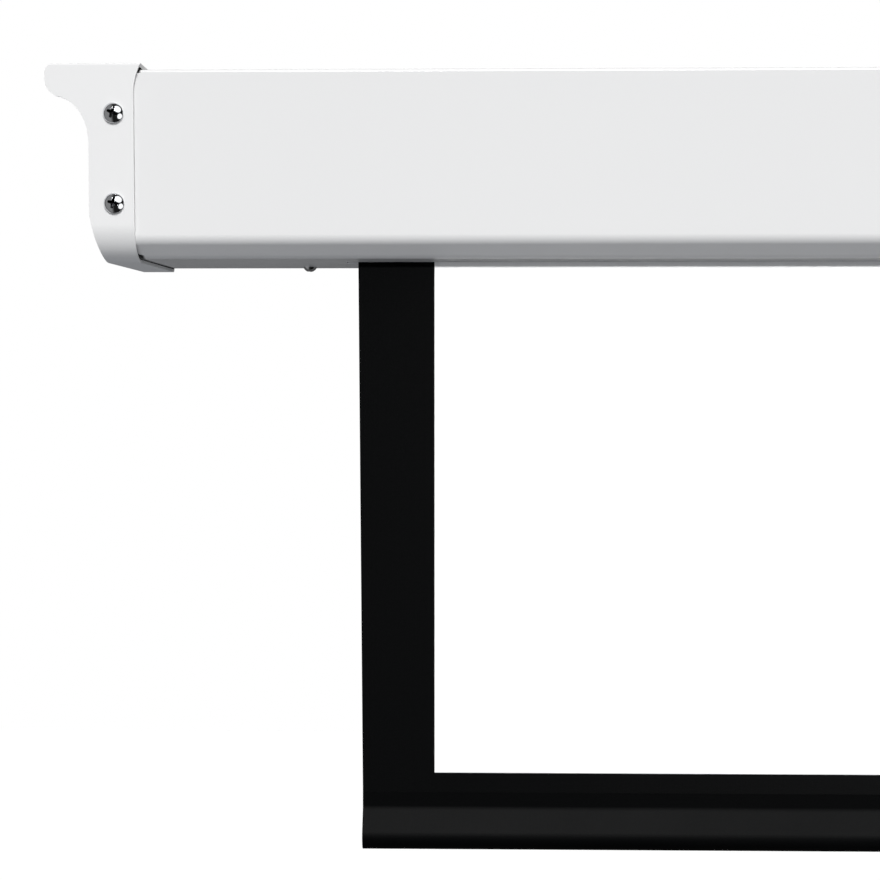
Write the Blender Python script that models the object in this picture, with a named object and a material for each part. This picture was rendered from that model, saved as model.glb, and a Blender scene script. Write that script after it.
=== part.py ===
"""Motorized projector screen, partly lowered.

A white box casing of folded sheet steel is carried by a moulded bracket at each end.
Inside it a roller tube turns on a ball bearing at the left and on a tubular motor at the right.
The screen fabric leaves the front of the roller, passes a slot in the underside of the casing,
and is kept straight by a round steel bar in its bottom hem.

Frame: X runs along the casing, Y from the front to the wall, Z up.  The origin is in the plane
of the ceiling, midway between the two brackets and midway through their depth.
"""
import math

import bmesh
import bpy
from mathutils import Vector

MM = 0.001

# Casing and end brackets
OVERALL_LENGTH = 2312 * MM      # over the end plates of the brackets, without their ears
BRACKET_HEIGHT = 80 * MM
BRACKET_DEPTH = 87 * MM
BRACKET_WALL = 2.0 * MM
CASING_GAP = 0.5 * MM           # play between a bracket and the casing it wraps
CASING_WALL = 1.0 * MM
FLANGE_WIDTH = 18.5 * MM        # how far a bracket reaches over the casing
FLANGE_FLARE = 3.0 * MM         # how much wider it gets at its top edge
FLARE_DROP = 12 * MM
CORNER_DEPTH = 14 * MM          # a bracket's lower front corner, a quarter of an ellipse
CORNER_HEIGHT = 12 * MM
END_CORNER_DEPTH = 45 * MM      # the same corner where it reaches the end plate
END_CORNER_HEIGHT = 22 * MM
END_ROUNDING = 6 * MM           # over this length the one corner turns into the other
BRACKET_RADIUS = 2 * MM
EAR_REACH = 17.7 * MM
EAR_DROP = 32 * MM
EAR_TIP_RADIUS = 7.2 * MM
EAR_TIP_HEIGHT = -6.3 * MM
EAR_CORNER_RADIUS = 3.5 * MM
EAR_OPENING = 9 * MM            # open width under the ear, beside the end plate
EAR_LIP_HEIGHT = -12.4 * MM     # inside of the lip that closes the rest of it

# Front lower corner of the casing: a sloping strip between the front and the underside
CHAMFER_RISE = 6.3 * MM
CHAMFER_RUN = 8.0 * MM

# Roller, fabric and slot
ROLLER_Y = 16 * MM
ROLLER_Z = -38 * MM
TUBE_RADIUS = 19 * MM
TUBE_WALL = 1 * MM
TUBE_HALF = 1058 * MM
ROLL_RADIUS = 22.1 * MM         # the fabric still wound on the tube, with 1.35 m of it left
FABRIC_THICKNESS = 0.4 * MM
FABRIC_WIDTH = 2098 * MM
TOUCH = 0.3 * MM                # gap between two pieces that touch
SLOT_FRONT = -8.5 * MM
SLOT_WIDTH = 12 * MM
SLOT_HALF = 1054 * MM
SLOT_LIP = 5 * MM

# Inner supports: an upright plate with a foot on the casing's floor, at each end of the roller
SUPPORT_PLATE = 2 * MM
SUPPORT_FRONT = -7 * MM
SUPPORT_REAR = 38.5 * MM
SUPPORT_TOP = -13 * MM
IDLER_PLATE_X = -1068 * MM      # outboard face of the left plate
MOTOR_PLATE_X = 1084 * MM       # inboard face of the right plate
BALL_COUNT = 8

# Tubular motor; offsets are (Y, Z) from the roller's axis
MOTOR_RADIUS = 17 * MM
MOTOR_INNER_X = 640 * MM
HEAD_RADIUS = 22.5 * MM
LIMIT_SCREW_RADIUS = 3 * MM
LIMIT_SCREW_OFFSETS = ((-8.0 * MM, 12.0 * MM), (-13.6 * MM, 4.0 * MM))
HEAD_SCREW_OFFSETS = ((0.0, 17 * MM), (0.0, -17 * MM))
LEAD_OFFSET = (-8 * MM, -13 * MM)
LEAD_RADIUS = 2.5 * MM

# Receiver box and the gland of the mains cable
BOX_WALL = 1.6 * MM
BOARD_THICKNESS = 1.6 * MM
POST_HEIGHT = 5 * MM            # posts in the box, which the board rests on
POST_RADIUS = 2.2 * MM
GLAND_Y = 24 * MM
GLAND_Z = -58 * MM

# Hem at the bottom of the fabric, as lowered in the photograph
HEM_BOTTOM = -334 * MM
HEM_LINE = -316 * MM
WELD_HEIGHT = 7 * MM
BAR_RADIUS = 5.5 * MM
BAR_WALL = 1.5 * MM

# Fasteners
FRONT_SCREW_INSET = 10.4 * MM
FRONT_SCREW_HEIGHTS = (-20.1 * MM, -56.5 * MM)
FLOOR_SCREW_INSET = 82.9 * MM
FLOOR_SCREW_Y = 28.5 * MM
CEILING_HOLE_Y = 26 * MM
EAR_HOLE_INSET = 4.5 * MM
EAR_HOLE_RADIUS = 2.5 * MM

FACET_SAG = 0.07 * MM           # how far a flat facet may cut inside the true curve

# Values worked out from the ones above
HALF_LENGTH = OVERALL_LENGTH / 2
HALF_DEPTH = BRACKET_DEPTH / 2
CASING_INSET = BRACKET_WALL + CASING_GAP
CASING_FRONT = -HALF_DEPTH + CASING_INSET
CASING_REAR = HALF_DEPTH - CASING_INSET
CASING_TOP = -CASING_INSET
CASING_BOTTOM = -BRACKET_HEIGHT + CASING_INSET
CASING_HALF = HALF_LENGTH - END_ROUNDING - CASING_GAP
FLOOR_TOP = CASING_BOTTOM + CASING_WALL
FABRIC_Y = ROLLER_Y - ROLL_RADIUS - TOUCH - FABRIC_THICKNESS / 2
HEAD_NECK_X = TUBE_HALF + TOUCH
HEAD_FLANGE_X = HEAD_NECK_X + 6 * MM
HEAD_FACE_X = MOTOR_PLATE_X - TOUCH
BOX_LOW = Vector((1095 * MM, -26 * MM, FLOOR_TOP + TOUCH))
BOX_HIGH = Vector((1147 * MM, 14 * MM, -46 * MM))

WHITE_PAINT = ("white_paint", (0.86, 0.86, 0.86), 0.38, 0.0)
WHITE_PLASTIC = ("white_plastic", (0.88, 0.88, 0.88), 0.42, 0.0)
BLACK_PLASTIC = ("black_plastic", (0.03, 0.03, 0.032), 0.5, 0.0)
GREY_PLASTIC = ("grey_plastic", (0.35, 0.36, 0.37), 0.5, 0.0)
CHROME = ("chrome", (0.8, 0.8, 0.82), 0.12, 1.0)
ZINC = ("zinc_steel", (0.62, 0.63, 0.64), 0.35, 1.0)
STEEL = ("bright_steel", (0.7, 0.7, 0.7), 0.22, 1.0)
SCREEN_WHITE = ("screen_white", (0.9, 0.9, 0.9), 0.85, 0.0)
SCREEN_BLACK = ("screen_black", (0.02, 0.021, 0.022), 0.6, 0.0)
BOARD_GREEN = ("board_green", (0.04, 0.2, 0.09), 0.45, 0.0)
CABLE_BLACK = ("cable_black", (0.025, 0.025, 0.025), 0.55, 0.0)


def clear_scene():
    """Remove whatever objects the scene holds."""
    for item in list(bpy.data.objects):
        bpy.data.objects.remove(item, do_unlink=True)


def finish_of(name, colour, roughness, metallic):
    """Return the named material, made once."""
    made = bpy.data.materials.get(name)
    if made:
        return made
    made = bpy.data.materials.new(name)
    made.use_nodes = True
    shader = made.node_tree.nodes["Principled BSDF"]
    shader.inputs["Base Color"].default_value = (*colour, 1.0)
    shader.inputs["Roughness"].default_value = roughness
    shader.inputs["Metallic"].default_value = metallic
    made.diffuse_color = (*colour, 1.0)
    return made


def pivot(name, location):
    """An empty on a joint's axis, which carries the pieces that turn or slide together."""
    empty = bpy.data.objects.new(name, None)
    empty.location = location
    empty.empty_display_size = 0.02
    bpy.context.collection.objects.link(empty)
    return empty


def make_object(name, shape, finish=None, parent=None, round_piece=False):
    """Turn a bmesh in world coordinates into an object, seated under its pivot."""
    bmesh.ops.remove_doubles(shape, verts=shape.verts, dist=1e-7)
    bmesh.ops.recalc_face_normals(shape, faces=shape.faces)
    if parent:
        bmesh.ops.translate(shape, verts=shape.verts, vec=-Vector(parent.location))
    mesh = bpy.data.meshes.new(name)
    shape.to_mesh(mesh)
    shape.free()
    if round_piece:
        mesh.shade_smooth()
        mesh.set_sharp_from_angle(angle=math.radians(35))
    made = bpy.data.objects.new(name, mesh)
    bpy.context.collection.objects.link(made)
    if finish:
        mesh.materials.append(finish_of(*finish))
    made.parent = parent
    return made


def as_tool(item):
    """Hide an object that only cuts or builds another one."""
    item.hide_render = True
    item.display_type = "WIRE"
    return item


def boolean(target, tool, operation="DIFFERENCE"):
    """Cut, join or trim one object with another."""
    step = target.modifiers.new(tool.name, "BOOLEAN")
    step.operation = operation
    step.solver = "EXACT"
    step.object = as_tool(tool)
    tool.parent = target.parent


def axis_point(axis, along, first, second):
    """A point at a distance along an axis, with its two other coordinates in order."""
    if axis == "X":
        return (along, first, second)
    if axis == "Y":
        return (first, along, second)
    return (first, second, along)


def extruded(outline, start, end, axis="X", holes=()):
    """A flat outline, with any holes, extruded along an axis from start to end."""
    shape = bmesh.new()
    for loop in (outline, *holes):
        verts = [shape.verts.new(axis_point(axis, start, *point)) for point in loop]
        for index, vert in enumerate(verts):
            shape.edges.new((vert, verts[(index + 1) % len(verts)]))
    if holes:
        bmesh.ops.triangle_fill(shape, edges=shape.edges[:], use_beauty=True, use_dissolve=False)
    else:
        bmesh.ops.contextual_create(shape, geom=shape.edges[:])
    grown = bmesh.ops.extrude_face_region(shape, geom=shape.faces[:], use_keep_orig=True)
    moved = [item for item in grown["geom"] if isinstance(item, bmesh.types.BMVert)]
    bmesh.ops.translate(shape, verts=moved, vec=axis_point(axis, end - start, 0, 0))
    return shape


def lofted(sections):
    """A body through outlines of equal count, given as (x, outline)."""
    shape = bmesh.new()
    rings = []
    for along, outline in sections:
        rings.append([shape.verts.new((along, *point)) for point in outline])
    for ring, following in zip(rings, rings[1:]):
        for index in range(len(ring)):
            after = (index + 1) % len(ring)
            shape.faces.new((ring[index], ring[after], following[after], following[index]))
    shape.faces.new(rings[0])
    shape.faces.new(rings[-1])
    bmesh.ops.triangulate(shape, faces=shape.faces[:])
    return shape


def block(low, high):
    """A rectangular block between two corners, as a bmesh."""
    outline = [(low[1], low[2]), (high[1], low[2]), (high[1], high[2]), (low[1], high[2])]
    return extruded(outline, low[0], high[0])


def facets(radius, sweep=2 * math.pi):
    """How many flat facets an arc needs to stay within the allowed sag."""
    half_facet = math.acos(max(1 - FACET_SAG / radius, 0.5))
    return max(2, math.ceil(sweep / (2 * half_facet)))


def rounded(corners):
    """An outline with its corners (first, second, radius) rounded by arcs."""
    outline = []
    for index, (first, second, radius) in enumerate(corners):
        here = Vector((first, second))
        if radius <= 0:
            outline.append((first, second))
            continue
        before = Vector(corners[index - 1][:2]) - here
        after = Vector(corners[(index + 1) % len(corners)][:2]) - here
        half_angle = before.angle(after) / 2
        middle = (before.normalized() + after.normalized()).normalized()
        centre = here + middle * (radius / math.sin(half_angle))
        reach = radius / math.tan(half_angle)
        first_spoke = here + before.normalized() * reach - centre
        last_spoke = here + after.normalized() * reach - centre
        steps = facets(radius, math.pi - 2 * half_angle)
        turn = (math.pi - 2 * half_angle) / steps
        if first_spoke.cross(last_spoke) < 0:
            turn = -turn
        for step in range(steps + 1):
            spoke = Vector((
                first_spoke.x * math.cos(turn * step) - first_spoke.y * math.sin(turn * step),
                first_spoke.x * math.sin(turn * step) + first_spoke.y * math.cos(turn * step),
            ))
            outline.append(tuple(centre + spoke))
    return outline


def inset(corners, wall):
    """The corners of an outline moved in by a wall thickness, with their radii."""
    moved = []
    for index, (first, second, radius) in enumerate(corners):
        here = Vector((first, second))
        along_in = (here - Vector(corners[index - 1][:2])).normalized()
        along_out = (Vector(corners[(index + 1) % len(corners)][:2]) - here).normalized()
        normal_in = Vector((-along_in.y, along_in.x))
        normal_out = Vector((-along_out.y, along_out.x))
        shift = (normal_in + normal_out) * (wall / (1 + normal_in.dot(normal_out)))
        inner_radius = max(radius - wall, 0.3 * MM) if radius else 0
        moved.append((*(here + shift), inner_radius))
    return moved


def circle(first, second, radius, count=None):
    """Points round a circle, or the corners of a regular polygon where a count is given."""
    count = count or facets(radius)
    points = []
    for index in range(count):
        angle = 2 * math.pi * index / count
        points.append((first + radius * math.cos(angle), second + radius * math.sin(angle)))
    return points


def turned(profile, centre, count=None, rim=None, closed=False):
    """A profile of (x, radius) turned about an axis along X through centre (y, z).

    rim changes a radius by its angle.  A closed profile makes a ring, an open one starts and
    ends on the axis.
    """
    count = count or facets(max(radius for _, radius in profile))
    shape = bmesh.new()
    rings = []
    for along, radius in profile:
        if radius == 0:
            rings.append([shape.verts.new((along, *centre))])
            continue
        ring = []
        for index in range(count):
            angle = 2 * math.pi * index / count
            reach = rim(radius, angle) if rim else radius
            place = (along, centre[0] + reach * math.cos(angle), centre[1] + reach * math.sin(angle))
            ring.append(shape.verts.new(place))
        rings.append(ring)
    pairs = list(zip(rings, rings[1:]))
    if closed:
        pairs.append((rings[-1], rings[0]))
    for ring, following in pairs:
        for index in range(count):
            after = (index + 1) % count
            corners = [ring[index % len(ring)], ring[after % len(ring)],
                       following[after % len(following)], following[index % len(following)]]
            shape.faces.new(list(dict.fromkeys(corners)))
    return shape


def pan_head_screw(head, shank, shank_length, head_height):
    """A screw along X: a domed head on the negative side of the origin and its shank beyond."""
    dome_steps = 4
    profile = [(-head_height, 0)]
    for step in range(1, dome_steps + 1):
        angle = math.radians(90) * step / dome_steps
        profile.append((-head_height * (0.35 + 0.65 * math.cos(angle)), head * math.sin(angle)))
    profile += [(0, head), (0, shank), (shank_length, shank), (shank_length + shank, 0)]
    return turned(profile, (0, 0))


def placed(shape, direction, place):
    """Turn a bmesh made along X to point along a direction, and move it."""
    turn = Vector((1, 0, 0)).rotation_difference(Vector(direction)).to_matrix()
    bmesh.ops.rotate(shape, verts=shape.verts, cent=(0, 0, 0), matrix=turn)
    bmesh.ops.translate(shape, verts=shape.verts, vec=place)
    return shape


def joined(shapes):
    """Several bmeshes in one, each staying a body of its own."""
    whole = bmesh.new()
    for shape in shapes:
        mesh = bpy.data.meshes.new("part_of_group")
        shape.to_mesh(mesh)
        shape.free()
        whole.from_mesh(mesh)
        bpy.data.meshes.remove(mesh)
    return whole


def casing_corners():
    """The casing's section: box shaped, with a sloping strip at its front lower corner."""
    return [
        (CASING_FRONT, CASING_TOP, 4 * MM),
        (CASING_FRONT, CASING_BOTTOM + CHAMFER_RISE, 3.5 * MM),
        (CASING_FRONT + CHAMFER_RUN, CASING_BOTTOM, 2 * MM),
        (CASING_REAR, CASING_BOTTOM, 3 * MM),
        (CASING_REAR, CASING_TOP, 3 * MM),
    ]


def build_casing():
    """The casing: one folded sheet with a slot for the fabric, whose edges are turned up."""
    corners = casing_corners()
    section = extruded(rounded(corners), -CASING_HALF, CASING_HALF,
                       holes=[rounded(inset(corners, CASING_WALL))])
    casing = make_object("casing", section, WHITE_PAINT)
    slot_rear = SLOT_FRONT + SLOT_WIDTH
    for name, edge, side in (("front_lip", SLOT_FRONT, -1), ("rear_lip", slot_rear, 1)):
        low = min(edge + side * CASING_WALL, edge - side * CASING_WALL / 2)
        high = max(edge + side * CASING_WALL, edge - side * CASING_WALL / 2)
        lip = block((-SLOT_HALF - 5 * MM, low, FLOOR_TOP - CASING_WALL / 2),
                    (SLOT_HALF + 5 * MM, high, FLOOR_TOP + SLOT_LIP))
        boolean(casing, make_object(name, lip), "UNION")
    slot = block((-SLOT_HALF, SLOT_FRONT, CASING_BOTTOM - 5 * MM),
                 (SLOT_HALF, slot_rear, FLOOR_TOP + SLOT_LIP + 5 * MM))
    boolean(casing, make_object("slot_cutter", slot))
    drills = []
    for side in (-1, 1):
        screw_x = side * (HALF_LENGTH - FRONT_SCREW_INSET)
        for height in FRONT_SCREW_HEIGHTS:
            hole = circle(screw_x, height, 2.3 * MM)
            drills.append(extruded(hole, CASING_FRONT - 3 * MM, CASING_FRONT + 3 * MM, "Y"))
        floor_x = side * (HALF_LENGTH - FLOOR_SCREW_INSET)
        hole = circle(floor_x, FLOOR_SCREW_Y, 2.1 * MM)
        drills.append(extruded(hole, CASING_BOTTOM - 3 * MM, FLOOR_TOP + 0.6 * MM, "Z"))
    boolean(casing, make_object("casing_drills", joined(drills)))
    return casing


def bracket_front_view():
    """The bracket seen from the front, as (distance outboard of the end plate, height).

    The tip of the ear is an arc, and a quarter of an ellipse carries it down into the end plate.
    The edge over the casing flares towards the top.
    """
    above = 1 * MM
    below = -BRACKET_HEIGHT - 1 * MM
    outline = [(-FLANGE_WIDTH - FLANGE_FLARE, above), (EAR_REACH - EAR_CORNER_RADIUS, above)]
    corner_x = EAR_REACH - EAR_CORNER_RADIUS
    for step in range(7):
        angle = math.radians(90 - 15 * step)
        outline.append((corner_x + EAR_CORNER_RADIUS * math.cos(angle),
                        -EAR_CORNER_RADIUS + EAR_CORNER_RADIUS * math.sin(angle)))
    tip_centre = EAR_REACH - EAR_TIP_RADIUS
    for step in range(9):
        angle = math.radians(-10.25 * step)
        outline.append((tip_centre + EAR_TIP_RADIUS * math.cos(angle),
                        EAR_TIP_HEIGHT + EAR_TIP_RADIUS * math.sin(angle)))
    sweep_width = 14 * MM
    sweep_height = 18.7 * MM
    for step in range(1, 11):
        angle = math.radians(12 + 7.8 * step)
        outline.append((sweep_width - sweep_width * math.sin(angle),
                        -EAR_DROP + sweep_height * math.cos(angle)))
    outline += [(0, below), (-FLANGE_WIDTH, below)]
    for step in range(7):
        share = step / 6
        outline.append((-FLANGE_WIDTH - FLANGE_FLARE * share * share, FLARE_DROP * (share - 1)))
    return outline


def ear_space_view():
    """The open space in the ear, seen from the front as bracket_front_view is."""
    outline = [(0, -BRACKET_WALL), (EAR_REACH - BRACKET_WALL, -BRACKET_WALL)]
    inner_radius = EAR_TIP_RADIUS - BRACKET_WALL
    for step in range(7):
        angle = math.radians(-14 * step)
        outline.append((EAR_REACH - EAR_TIP_RADIUS + inner_radius * math.cos(angle),
                        EAR_TIP_HEIGHT + inner_radius * math.sin(angle)))
    below = EAR_DROP + 10 * MM
    outline += [(EAR_OPENING, EAR_LIP_HEIGHT), (EAR_OPENING, -below), (0, -below)]
    return outline


def bracket_section(share, wall=0):
    """The bracket's section, moved in by a wall.

    Its lower front corner grows with share from its size round the casing to that at the end plate.
    """
    front = wall - HALF_DEPTH
    bottom = wall - BRACKET_HEIGHT
    radius = max(BRACKET_RADIUS - wall, 0.3 * MM)
    depth = CORNER_DEPTH + share * (END_CORNER_DEPTH - CORNER_DEPTH) - wall
    height = CORNER_HEIGHT + share * (END_CORNER_HEIGHT - CORNER_HEIGHT) - wall
    corners = [(front, -wall, radius)]
    steps = facets(END_CORNER_HEIGHT, math.pi / 2)
    for step in range(steps + 1):
        angle = math.pi / 2 * step / steps
        corners.append((front + depth * (1 - math.cos(angle)), bottom + height * (1 - math.sin(angle)), 0))
    corners += [(-front, bottom, radius), (-front, -wall, radius)]
    return rounded(corners)


def bracket_stations(face, side, first_angle):
    """Where the section changes, as (x, share): a quarter turn from the casing's end to the end plate."""
    steps = 5
    stations = []
    for step in range(steps + 1):
        angle = first_angle * (1 - step / steps)
        stations.append((face - side * END_ROUNDING * (1 - math.sin(angle)), 1 - math.cos(angle)))
    return stations


def build_bracket(name, side):
    """One end bracket, moulded in one piece.

    Its section round the casing and its front view are crossed, then the pocket for the casing
    and the open space under the ear are taken out, with the screw holes and the wall keyhole.
    """
    outer_face = side * HALF_LENGTH
    stations = [(outer_face + side * (EAR_REACH + 2 * MM), 1)]
    stations += bracket_stations(outer_face, side, math.pi / 2)
    stations.append((outer_face - side * 30 * MM, 0))
    section = lofted([(along, bracket_section(share)) for along, share in stations])
    bracket = make_object(name, section, WHITE_PLASTIC)
    view = extruded([(outer_face + side * out, height) for out, height in bracket_front_view()],
                    -HALF_DEPTH - 5 * MM, HALF_DEPTH + 5 * MM, "Y")
    boolean(bracket, make_object(name + "_front_view", view), "INTERSECT")
    stations = bracket_stations(outer_face, side, math.asin(1 - BRACKET_WALL / END_ROUNDING))
    stations.append((outer_face - side * 35 * MM, 0))
    pocket = lofted([(along, bracket_section(share, BRACKET_WALL)) for along, share in stations])
    boolean(bracket, make_object(name + "_casing_pocket", pocket))
    under_ear = extruded([(outer_face + side * out, height) for out, height in ear_space_view()],
                         -HALF_DEPTH + BRACKET_WALL, HALF_DEPTH - BRACKET_WALL, "Y")
    boolean(bracket, make_object(name + "_ear_space", under_ear))

    drills = []
    screw_x = outer_face - side * FRONT_SCREW_INSET
    for height in FRONT_SCREW_HEIGHTS:
        hole = circle(screw_x, height, 2.3 * MM)
        drills.append(extruded(hole, -HALF_DEPTH - 2 * MM, -HALF_DEPTH + 4 * MM, "Y"))
    ear_hole_x = outer_face + side * EAR_HOLE_INSET
    for depth in (-CEILING_HOLE_Y, CEILING_HOLE_Y):
        hole = circle(ear_hole_x, depth, EAR_HOLE_RADIUS)
        drills.append(extruded(hole, -BRACKET_WALL - 2 * MM, 2 * MM, "Z"))
    keyhole = []
    for step in range(9):
        angle = math.radians(180 * step / 8)
        keyhole.append((ear_hole_x + 2 * MM * math.cos(angle), -5 * MM + 2 * MM * math.sin(angle)))
    for step in range(13):
        angle = math.radians(150 + 240 * step / 12)
        keyhole.append((ear_hole_x + 3.4 * MM * math.cos(angle), -9.4 * MM + 3.4 * MM * math.sin(angle)))
    drills.append(extruded(keyhole, HALF_DEPTH - 4 * MM, HALF_DEPTH + 2 * MM, "Y"))
    if side > 0:
        gland = circle(GLAND_Y, GLAND_Z, 6.3 * MM)
        drills.append(extruded(gland, outer_face - 4 * MM, outer_face + 2 * MM))
    boolean(bracket, make_object(name + "_drills", joined(drills)))
    return bracket


def build_fasteners():
    """The screws that hold the brackets, and those that hold the inner supports."""
    for end, side in (("left", -1), ("right", 1)):
        for level, height in zip(("upper", "lower"), FRONT_SCREW_HEIGHTS):
            place = (side * (HALF_LENGTH - FRONT_SCREW_INSET), -HALF_DEPTH - TOUCH, height)
            screw = placed(pan_head_screw(4 * MM, 2 * MM, 7 * MM, 2.6 * MM), (0, 1, 0), place)
            make_object(f"{end}_{level}_bracket_screw", screw, CHROME, round_piece=True)
    for name, side in (("idler_support_screw", -1), ("motor_support_screw", 1)):
        place = (side * (HALF_LENGTH - FLOOR_SCREW_INSET), FLOOR_SCREW_Y, CASING_BOTTOM - TOUCH)
        screw = placed(pan_head_screw(3.1 * MM, 1.75 * MM, 4.5 * MM, 2.9 * MM), (0, 0, 1), place)
        make_object(name, screw, ZINC, round_piece=True)


def support(name, plate_low, plate_high, foot_low, foot_high, holes):
    """An angle of bent sheet: an upright plate with rounded shoulders and a foot on the floor."""
    base = FLOOR_TOP + TOUCH
    foot_side = -1 if foot_low < plate_low else 1
    foot_end = foot_low if foot_side < 0 else foot_high
    bend = plate_high if foot_side < 0 else plate_low
    upright = plate_low if foot_side < 0 else plate_high
    angle = rounded([
        (foot_end, base, 0), (bend, base, 3 * MM), (bend, SUPPORT_TOP, 0),
        (upright, SUPPORT_TOP, 0), (upright, base + SUPPORT_PLATE, 1 * MM),
        (foot_end, base + SUPPORT_PLATE, 0),
    ])
    made = make_object(name, extruded(angle, SUPPORT_FRONT, SUPPORT_REAR, "Y"), ZINC)
    shoulder = rounded([
        (SUPPORT_FRONT - 1 * MM, base - 1 * MM, 0), (SUPPORT_REAR + 1 * MM, base - 1 * MM, 0),
        (SUPPORT_REAR - 0.5 * MM, SUPPORT_TOP, 20 * MM), (SUPPORT_FRONT + 0.5 * MM, SUPPORT_TOP, 20 * MM),
    ])
    boolean(made, make_object(name + "_shoulders", extruded(
        shoulder, min(plate_low, foot_low) - 1 * MM, max(plate_high, foot_high) + 1 * MM)), "INTERSECT")
    drills = [extruded(circle(depth, height, radius), plate_low - 2 * MM, plate_high + 2 * MM)
              for depth, height, radius in holes]
    floor_x = math.copysign(HALF_LENGTH - FLOOR_SCREW_INSET, plate_low)
    drills.append(extruded(circle(floor_x, FLOOR_SCREW_Y, 2.1 * MM),
                           base - 1 * MM, base + SUPPORT_PLATE + 0.8 * MM, "Z"))
    boolean(made, make_object(name + "_drills", joined(drills)))
    return made


def ribbed(count, groove):
    """A rim rule: radii above the groove's are cut back between ribs."""
    def rule(radius, angle):
        share = (angle * count / (2 * math.pi)) % 1.0
        if radius > 17 * MM and share > 0.45:
            return radius - groove
        return radius
    return rule


def build_idler_end(roller):
    """The left end of the roller: support, pin, ball bearing and the plug in the tube."""
    axis = (ROLLER_Y, ROLLER_Z)
    plate_in = IDLER_PLATE_X + SUPPORT_PLATE
    support("idler_support", IDLER_PLATE_X, plate_in, IDLER_PLATE_X - 16 * MM, IDLER_PLATE_X,
            [(*axis, 4.3 * MM)])
    pin = [
        (IDLER_PLATE_X - 8 * MM, 0), (IDLER_PLATE_X - 8 * MM, 3.4 * MM), (IDLER_PLATE_X - 7.4 * MM, 4 * MM),
        (plate_in + TOUCH, 4 * MM), (plate_in + TOUCH, 6.5 * MM), (plate_in + 3.2 * MM, 6.5 * MM),
        (plate_in + 3.2 * MM, 4 * MM), (plate_in + 16.2 * MM, 4 * MM), (plate_in + 16.2 * MM, 3 * MM),
        (plate_in + 17.4 * MM, 3 * MM), (plate_in + 17.4 * MM, 4 * MM), (plate_in + 19 * MM, 4 * MM),
        (plate_in + 19.6 * MM, 3.4 * MM), (plate_in + 19.6 * MM, 0),
    ]
    make_object("idler_pin", turned(pin, axis), STEEL, round_piece=True)
    nut_low = IDLER_PLATE_X - TOUCH - 5 * MM
    nut = extruded(circle(*axis, 7.5 * MM, 6), nut_low, IDLER_PLATE_X - TOUCH,
                   holes=[circle(*axis, 4.3 * MM)])
    make_object("idler_pin_nut", nut, ZINC)

    race_low = plate_in + 6 * MM
    race_high = race_low + 7 * MM
    race_middle = (race_low + race_high) / 2

    def race(name, parent, bore, land, groove_depth):
        groove = [(race_middle + 2.2 * MM * math.cos(math.radians(angle)),
                   land + groove_depth * math.sin(math.radians(angle)))
                  for angle in (180, 135, 90, 45, 0)]
        section = [(race_low, bore), (race_low, land), *groove, (race_high, land), (race_high, bore)]
        return make_object(name, turned(section, axis, closed=True), STEEL, parent, True)

    race("bearing_inner_race", None, 4.3 * MM, 6.2 * MM, -0.9 * MM)
    race("bearing_outer_race", roller, 11 * MM, 9 * MM, 0.9 * MM)
    cage = extruded(circle(*axis, 8.1 * MM), race_middle - 0.8 * MM, race_middle + 0.8 * MM,
                    holes=[circle(*axis, 7.1 * MM)])
    cage_ring = make_object("ball_cage", cage, STEEL, round_piece=True)
    balls = []
    for index in range(BALL_COUNT):
        angle = 2 * math.pi * (index + 0.5) / BALL_COUNT
        ball = bmesh.new()
        bmesh.ops.create_icosphere(ball, subdivisions=2, radius=1.9 * MM)
        place = (race_middle, axis[0] + 7.6 * MM * math.cos(angle), axis[1] + 7.6 * MM * math.sin(angle))
        bmesh.ops.translate(ball, verts=ball.verts, vec=place)
        balls.append(ball)
    boolean(cage_ring, make_object("balls", joined(balls)), "UNION")
    clip_low = plate_in + 16.35 * MM
    clip_high = clip_low + 0.9 * MM
    clip = extruded(circle(*axis, 6.2 * MM), clip_low, clip_high,
                    holes=[circle(*axis, 3.3 * MM)])
    clip_ring = make_object("idler_clip", clip, ZINC)
    gap = block((clip_low - 1 * MM, axis[0] - 1.6 * MM, axis[1] - 8 * MM),
                (clip_high + 1 * MM, axis[0] + 1.6 * MM, axis[1]))
    boolean(clip_ring, make_object("idler_clip_gap", gap))

    flange_low = -TUBE_HALF - TOUCH - 2 * MM
    body_radius = TUBE_RADIUS - TUBE_WALL - TOUCH
    pocket = race_high + TOUCH
    plug = [
        (flange_low, 11.3 * MM), (flange_low, TUBE_RADIUS - 0.4 * MM),
        (-TUBE_HALF - TOUCH, TUBE_RADIUS - 0.4 * MM), (-TUBE_HALF - TOUCH, body_radius),
        (-TUBE_HALF + 24 * MM, body_radius), (-TUBE_HALF + 26 * MM, body_radius - 1.2 * MM),
        (-TUBE_HALF + 26 * MM, 8.5 * MM), (pocket, 8.5 * MM), (pocket, 11.3 * MM),
    ]

    def plug_rim(radius, angle):
        """Only the body that sits in the tube is ribbed."""
        if abs(radius - body_radius) < 1e-6:
            return ribbed(12, 0.9 * MM)(radius, angle)
        return radius

    make_object("idler_plug", turned(plug, axis, 48, plug_rim, closed=True), BLACK_PLASTIC, roller, True)


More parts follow.
